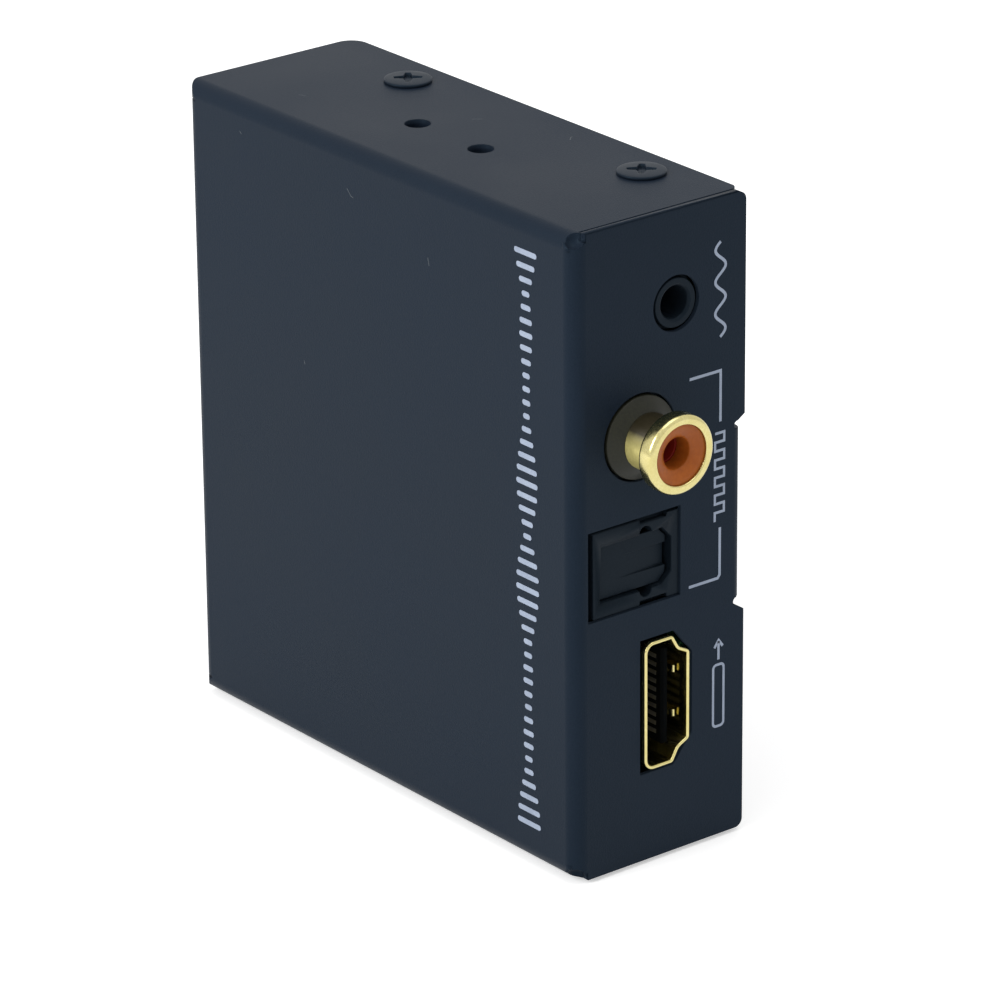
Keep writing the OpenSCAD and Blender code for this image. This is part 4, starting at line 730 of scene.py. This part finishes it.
TIN = finish_of("contact_tin", (0.42, 0.42, 0.40), (0.56, 0.55, 0.52), grains=3000, cloud=500,
                depth=0.05, rough=(0.26, 0.42), metallic=1.0)

dress_copies(TIN, "root", "contact_tin",
             ("stereo_jack_contacts", "jack_contacts", 0.04),
             ("power_jack_pin", "power_pin", 0.1),
             ("power_jack_contact", "power_contact", 0.04))


# In the middle of each video socket a matt black tongue, moulded in one with its back, carries two
# rows of narrow contacts. The tongue is coloured darker than its black plastic and the tin contacts a
# dark dull grey: painted shade deep in the shell.

TONGUE_BLACK_PAINTED_SHADE = finish_of("tongue_black_and_painted_shade", (0.0014, 0.0018, 0.0022), (0.0026, 0.0032, 0.0038), grains=2600,
                   cloud=200, depth=0.08, rough=(0.6, 0.75), specular=0.02)
TIN_PAINTED_SHADE = finish_of("tin_dulled_painted_shade", (0.060, 0.060, 0.058), (0.090, 0.090, 0.086), grains=3000,
                     cloud=500, depth=0.05, rough=(0.40, 0.55), metallic=0.5)

dress_copies(TONGUE_BLACK_PAINTED_SHADE, "root", "socket_black",
             ("video_out_insulator", "output_tongue", 0.05),
             ("video_in_insulator", "input_tongue", 0.05))
dress_copies(TIN_PAINTED_SHADE, "root", "contact_tin",
             ("video_out_contacts", "output_contacts", 0.0),
             ("video_in_contacts", "input_contacts", 0.0))


# The two video sockets' shells: thin plated sheet drawn round a flat D with hollow shoulders. Its
# rim is rolled, spring fingers bend in from both broad walls, and four feet go to the board.

SHELL_WALL, SHELL_DEPTH, SHELL_HALF_X = 0.42, 11.4, 3.2
HALF_D = [(-SHELL_HALF_X, -7.62), (0.80, -7.62), (1.70, -6.05), (SHELL_HALF_X, -5.3)]
HALF_D_RADII = [1.3, 0.55, 1.1, 0.6]
RIM_STEPS = 7
FINGER_PATH = [(5.4, 0.0), (4.9, 0.1), (2.6, 0.85), (2.2, 0.85), (1.8, 0.5)]
FINGER_SHEET, FINGER_Z, FINGER_HALF = 0.24, 2.65, 0.4
FOOT_STARTS, FOOT_LENGTH, FOOT_Z, FOOT_HALF = (2.5, 9.0), 1.4, 7.41, 0.2
SHELL_SHARP = 50


def video_shell(name, node, way):
    """A section with a half-round rim, carried along the outline and set inwards by the wall.
    Way is -1 at the output panel and 1 at the input panel."""
    low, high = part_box(node)
    x0, z0 = low.x / MM + SHELL_HALF_X, (low.z + high.z) / MM / 2
    mouth = (low if way < 0 else high).y / MM
    outline = rounded(HALF_D + [(x, -z) for x, z in HALF_D[::-1]],
                      HALF_D_RADII + HALF_D_RADII[::-1], steps=8)
    along = np.roll(outline, -1, 0) - np.roll(outline, 1, 0)
    along /= np.linalg.norm(along, axis=1, keepdims=True)
    inwards = np.column_stack([-along[:, 1], along[:, 0]])
    turn = np.linspace(0, np.pi, RIM_STEPS)
    share = np.concatenate([[0], (1 - np.cos(turn)) / 2, [1]])
    depth = np.concatenate([[SHELL_DEPTH], SHELL_WALL / 2 * (1 - np.sin(turn)), [SHELL_DEPTH]])
    ring = outline[:, None] + inwards[:, None] * (share * SHELL_WALL)[None, :, None]
    grid = np.stack(np.broadcast_arrays(x0 + ring[:, :, 0], mouth - way * depth,
                                        z0 + ring[:, :, 1]), -1)
    parts = [(grid.reshape(-1, 3), quads(len(outline), len(depth)))]

    def at_height(z):
        """Places rows of (depth behind the mouth, across) and a thickness round a height."""
        return lambda flat, thick: np.column_stack(
            [x0 + flat[:, 1], mouth - way * flat[:, 0], np.full(len(flat), z0 + z + thick)])

    for side in (-1, 1):
        wall = side * (SHELL_HALF_X - SHELL_WALL / 2)
        finger = stroke([(deep, wall - side * lift) for deep, lift in FINGER_PATH], FINGER_SHEET)
        for z in (-FINGER_Z, FINGER_Z):
            parts.append(film(finger, at_height(z), -FINGER_HALF, FINGER_HALF))
    board = high.x / MM - x0
    for z in (-FOOT_Z, FOOT_Z):
        for start in FOOT_STARTS:
            end = start + FOOT_LENGTH
            foot = rounded([(start, 0.0), (start, board), (end, board), (end, 0.0)], 0.1, steps=2)
            parts.append(film(foot, at_height(z), -FOOT_HALF, FOOT_HALF))
    return solid_of(name, parts, SHELL_SHARP)


dress(video_shell("output_shell", "video_out_shell", -1), GOLD, "root", "socket_gold", "video_out_shell")
dress(video_shell("input_shell", "video_in_shell", 1), GOLD, "root", "socket_gold", "video_in_shell")


# Four feet of black rubber, punched from a soft sheet and stuck on the base plate near its
# corners.

RUBBER = finish_of("black_rubber", (0.010, 0.0105, 0.011), (0.017, 0.0175, 0.018), grains=3500,
                   cloud=150, depth=0.3, rough=(0.72, 0.90), specular=0.3)

dress_copies(RUBBER, "root", "rubber", ("rubber_feet", "stick_on_feet", 0.45))


# The mode switch behind the input panel: a bent steel cage closed by a base of brown laminate
# with its terminals, and a white moulded lever that slides in the panel's slot.

WHITE = finish_of("white_lever", (0.60, 0.60, 0.57), (0.70, 0.70, 0.67), grains=2500, cloud=200,
                  depth=0.08, rough=(0.38, 0.5))
LAMINATE = finish_of("brown_laminate", (0.17, 0.075, 0.030), (0.28, 0.135, 0.055), grains=1500,
                     cloud=500, depth=0.15, rough=(0.5, 0.7))

dress_copies(STEEL, "root", "bright_steel", ("mode_switch_cage", "switch_cage", 0.1))
dress_copies(WHITE, "slider", "lever_white", ("mode_switch_slider", "switch_lever", 0.12))
dress_copies(LAMINATE, "root", "laminate_brown", ("mode_switch_base", "switch_base", 0.1))
dress_copies(TIN, "root", "contact_tin", ("mode_switch_terminals", "switch_terminals", 0.04))


# The power light and the optical socket's emitter are cast in clear red resin. The light sits in
# its holder and shows through the input panel, and the emitter ends the optical cavity.

LED = finish_of("red_resin", (0.30, 0.018, 0.012), (0.38, 0.025, 0.016), grains=900, cloud=200,
                depth=0.03, rough=(0.08, 0.16), coat=0.4)

dress_copies(LED, "root", "led_red",
             ("power_led", "light_lens", 0.1),
             ("optical_emitter", "light_emitter", 0.1))


# Inside, the circuit board of glass cloth under a green solder mask is screwed on four turned
# brass standoffs.

BOARD = finish_of("solder_mask", (0.010, 0.095, 0.045), (0.020, 0.140, 0.070), grains=900, cloud=250,
                  depth=0.15, rough=(0.28, 0.45), coat=0.15)
BRASS = finish_of("turned_brass", (0.52, 0.37, 0.12), (0.63, 0.46, 0.17), grains=2500, cloud=600,
                  depth=0.06, rough=(0.25, 0.4), metallic=1.0)

dress_copies(BOARD, "root", "board_green", ("main_board", "circuit_board", 0.08))
dress_copies(BRASS, "root", "brass", ("board_standoffs", "standoffs", 0.1))
dress_copies(STEEL, "root", "bright_steel", ("board_screws", "board_screws_turned", 0.12))


# Cans and ceramics soldered on the board: the crystal's bright can, the capacitors' drawn
# aluminium cans, and rows of small fired capacitors.

CAN = finish_of("drawn_can", (0.60, 0.61, 0.63), (0.72, 0.73, 0.75), grains=2500, cloud=300,
                depth=0.05, rough=(0.22, 0.38), metallic=1.0)
CERAMIC = finish_of("fired_ceramic", (0.30, 0.19, 0.095), (0.42, 0.28, 0.16), grains=2500, cloud=500,
                    depth=0.1, rough=(0.4, 0.6))

dress_copies(STEEL, "root", "bright_steel", ("clock_crystal", "crystal_can", 0.2))
dress_copies(CAN, "root", "can_aluminium", ("filter_capacitors", "capacitor_cans", 0.25))
dress_copies(CERAMIC, "root", "ceramic_tan", ("ceramic_capacitors", "small_capacitors", 0.06))


# Chips, regulators and other small black parts, moulded in epoxy round their metal frames and
# soldered on the board by their leads.

CHIP = finish_of("moulded_epoxy", (0.011, 0.0115, 0.013), (0.022, 0.0225, 0.024), grains=3500,
                 cloud=400, depth=0.2, rough=(0.5, 0.68), specular=0.35)

dress_copies(CHIP, "root", "chip_black",
             ("receiver_chip", "large_chip", 0.05),
             ("audio_chip", "sound_chip", 0.05),
             ("control_chip", "control_chip_moulded", 0.05),
             ("memory_chip", "memory_chip_moulded", 0.05),
             ("regulator_chips", "regulators", 0.06),
             ("surge_protectors", "surge_arrays", 0.05),
             ("chip_resistors", "small_resistors", 0.05),
             ("power_inductor", "inductor_drum", 0.2))
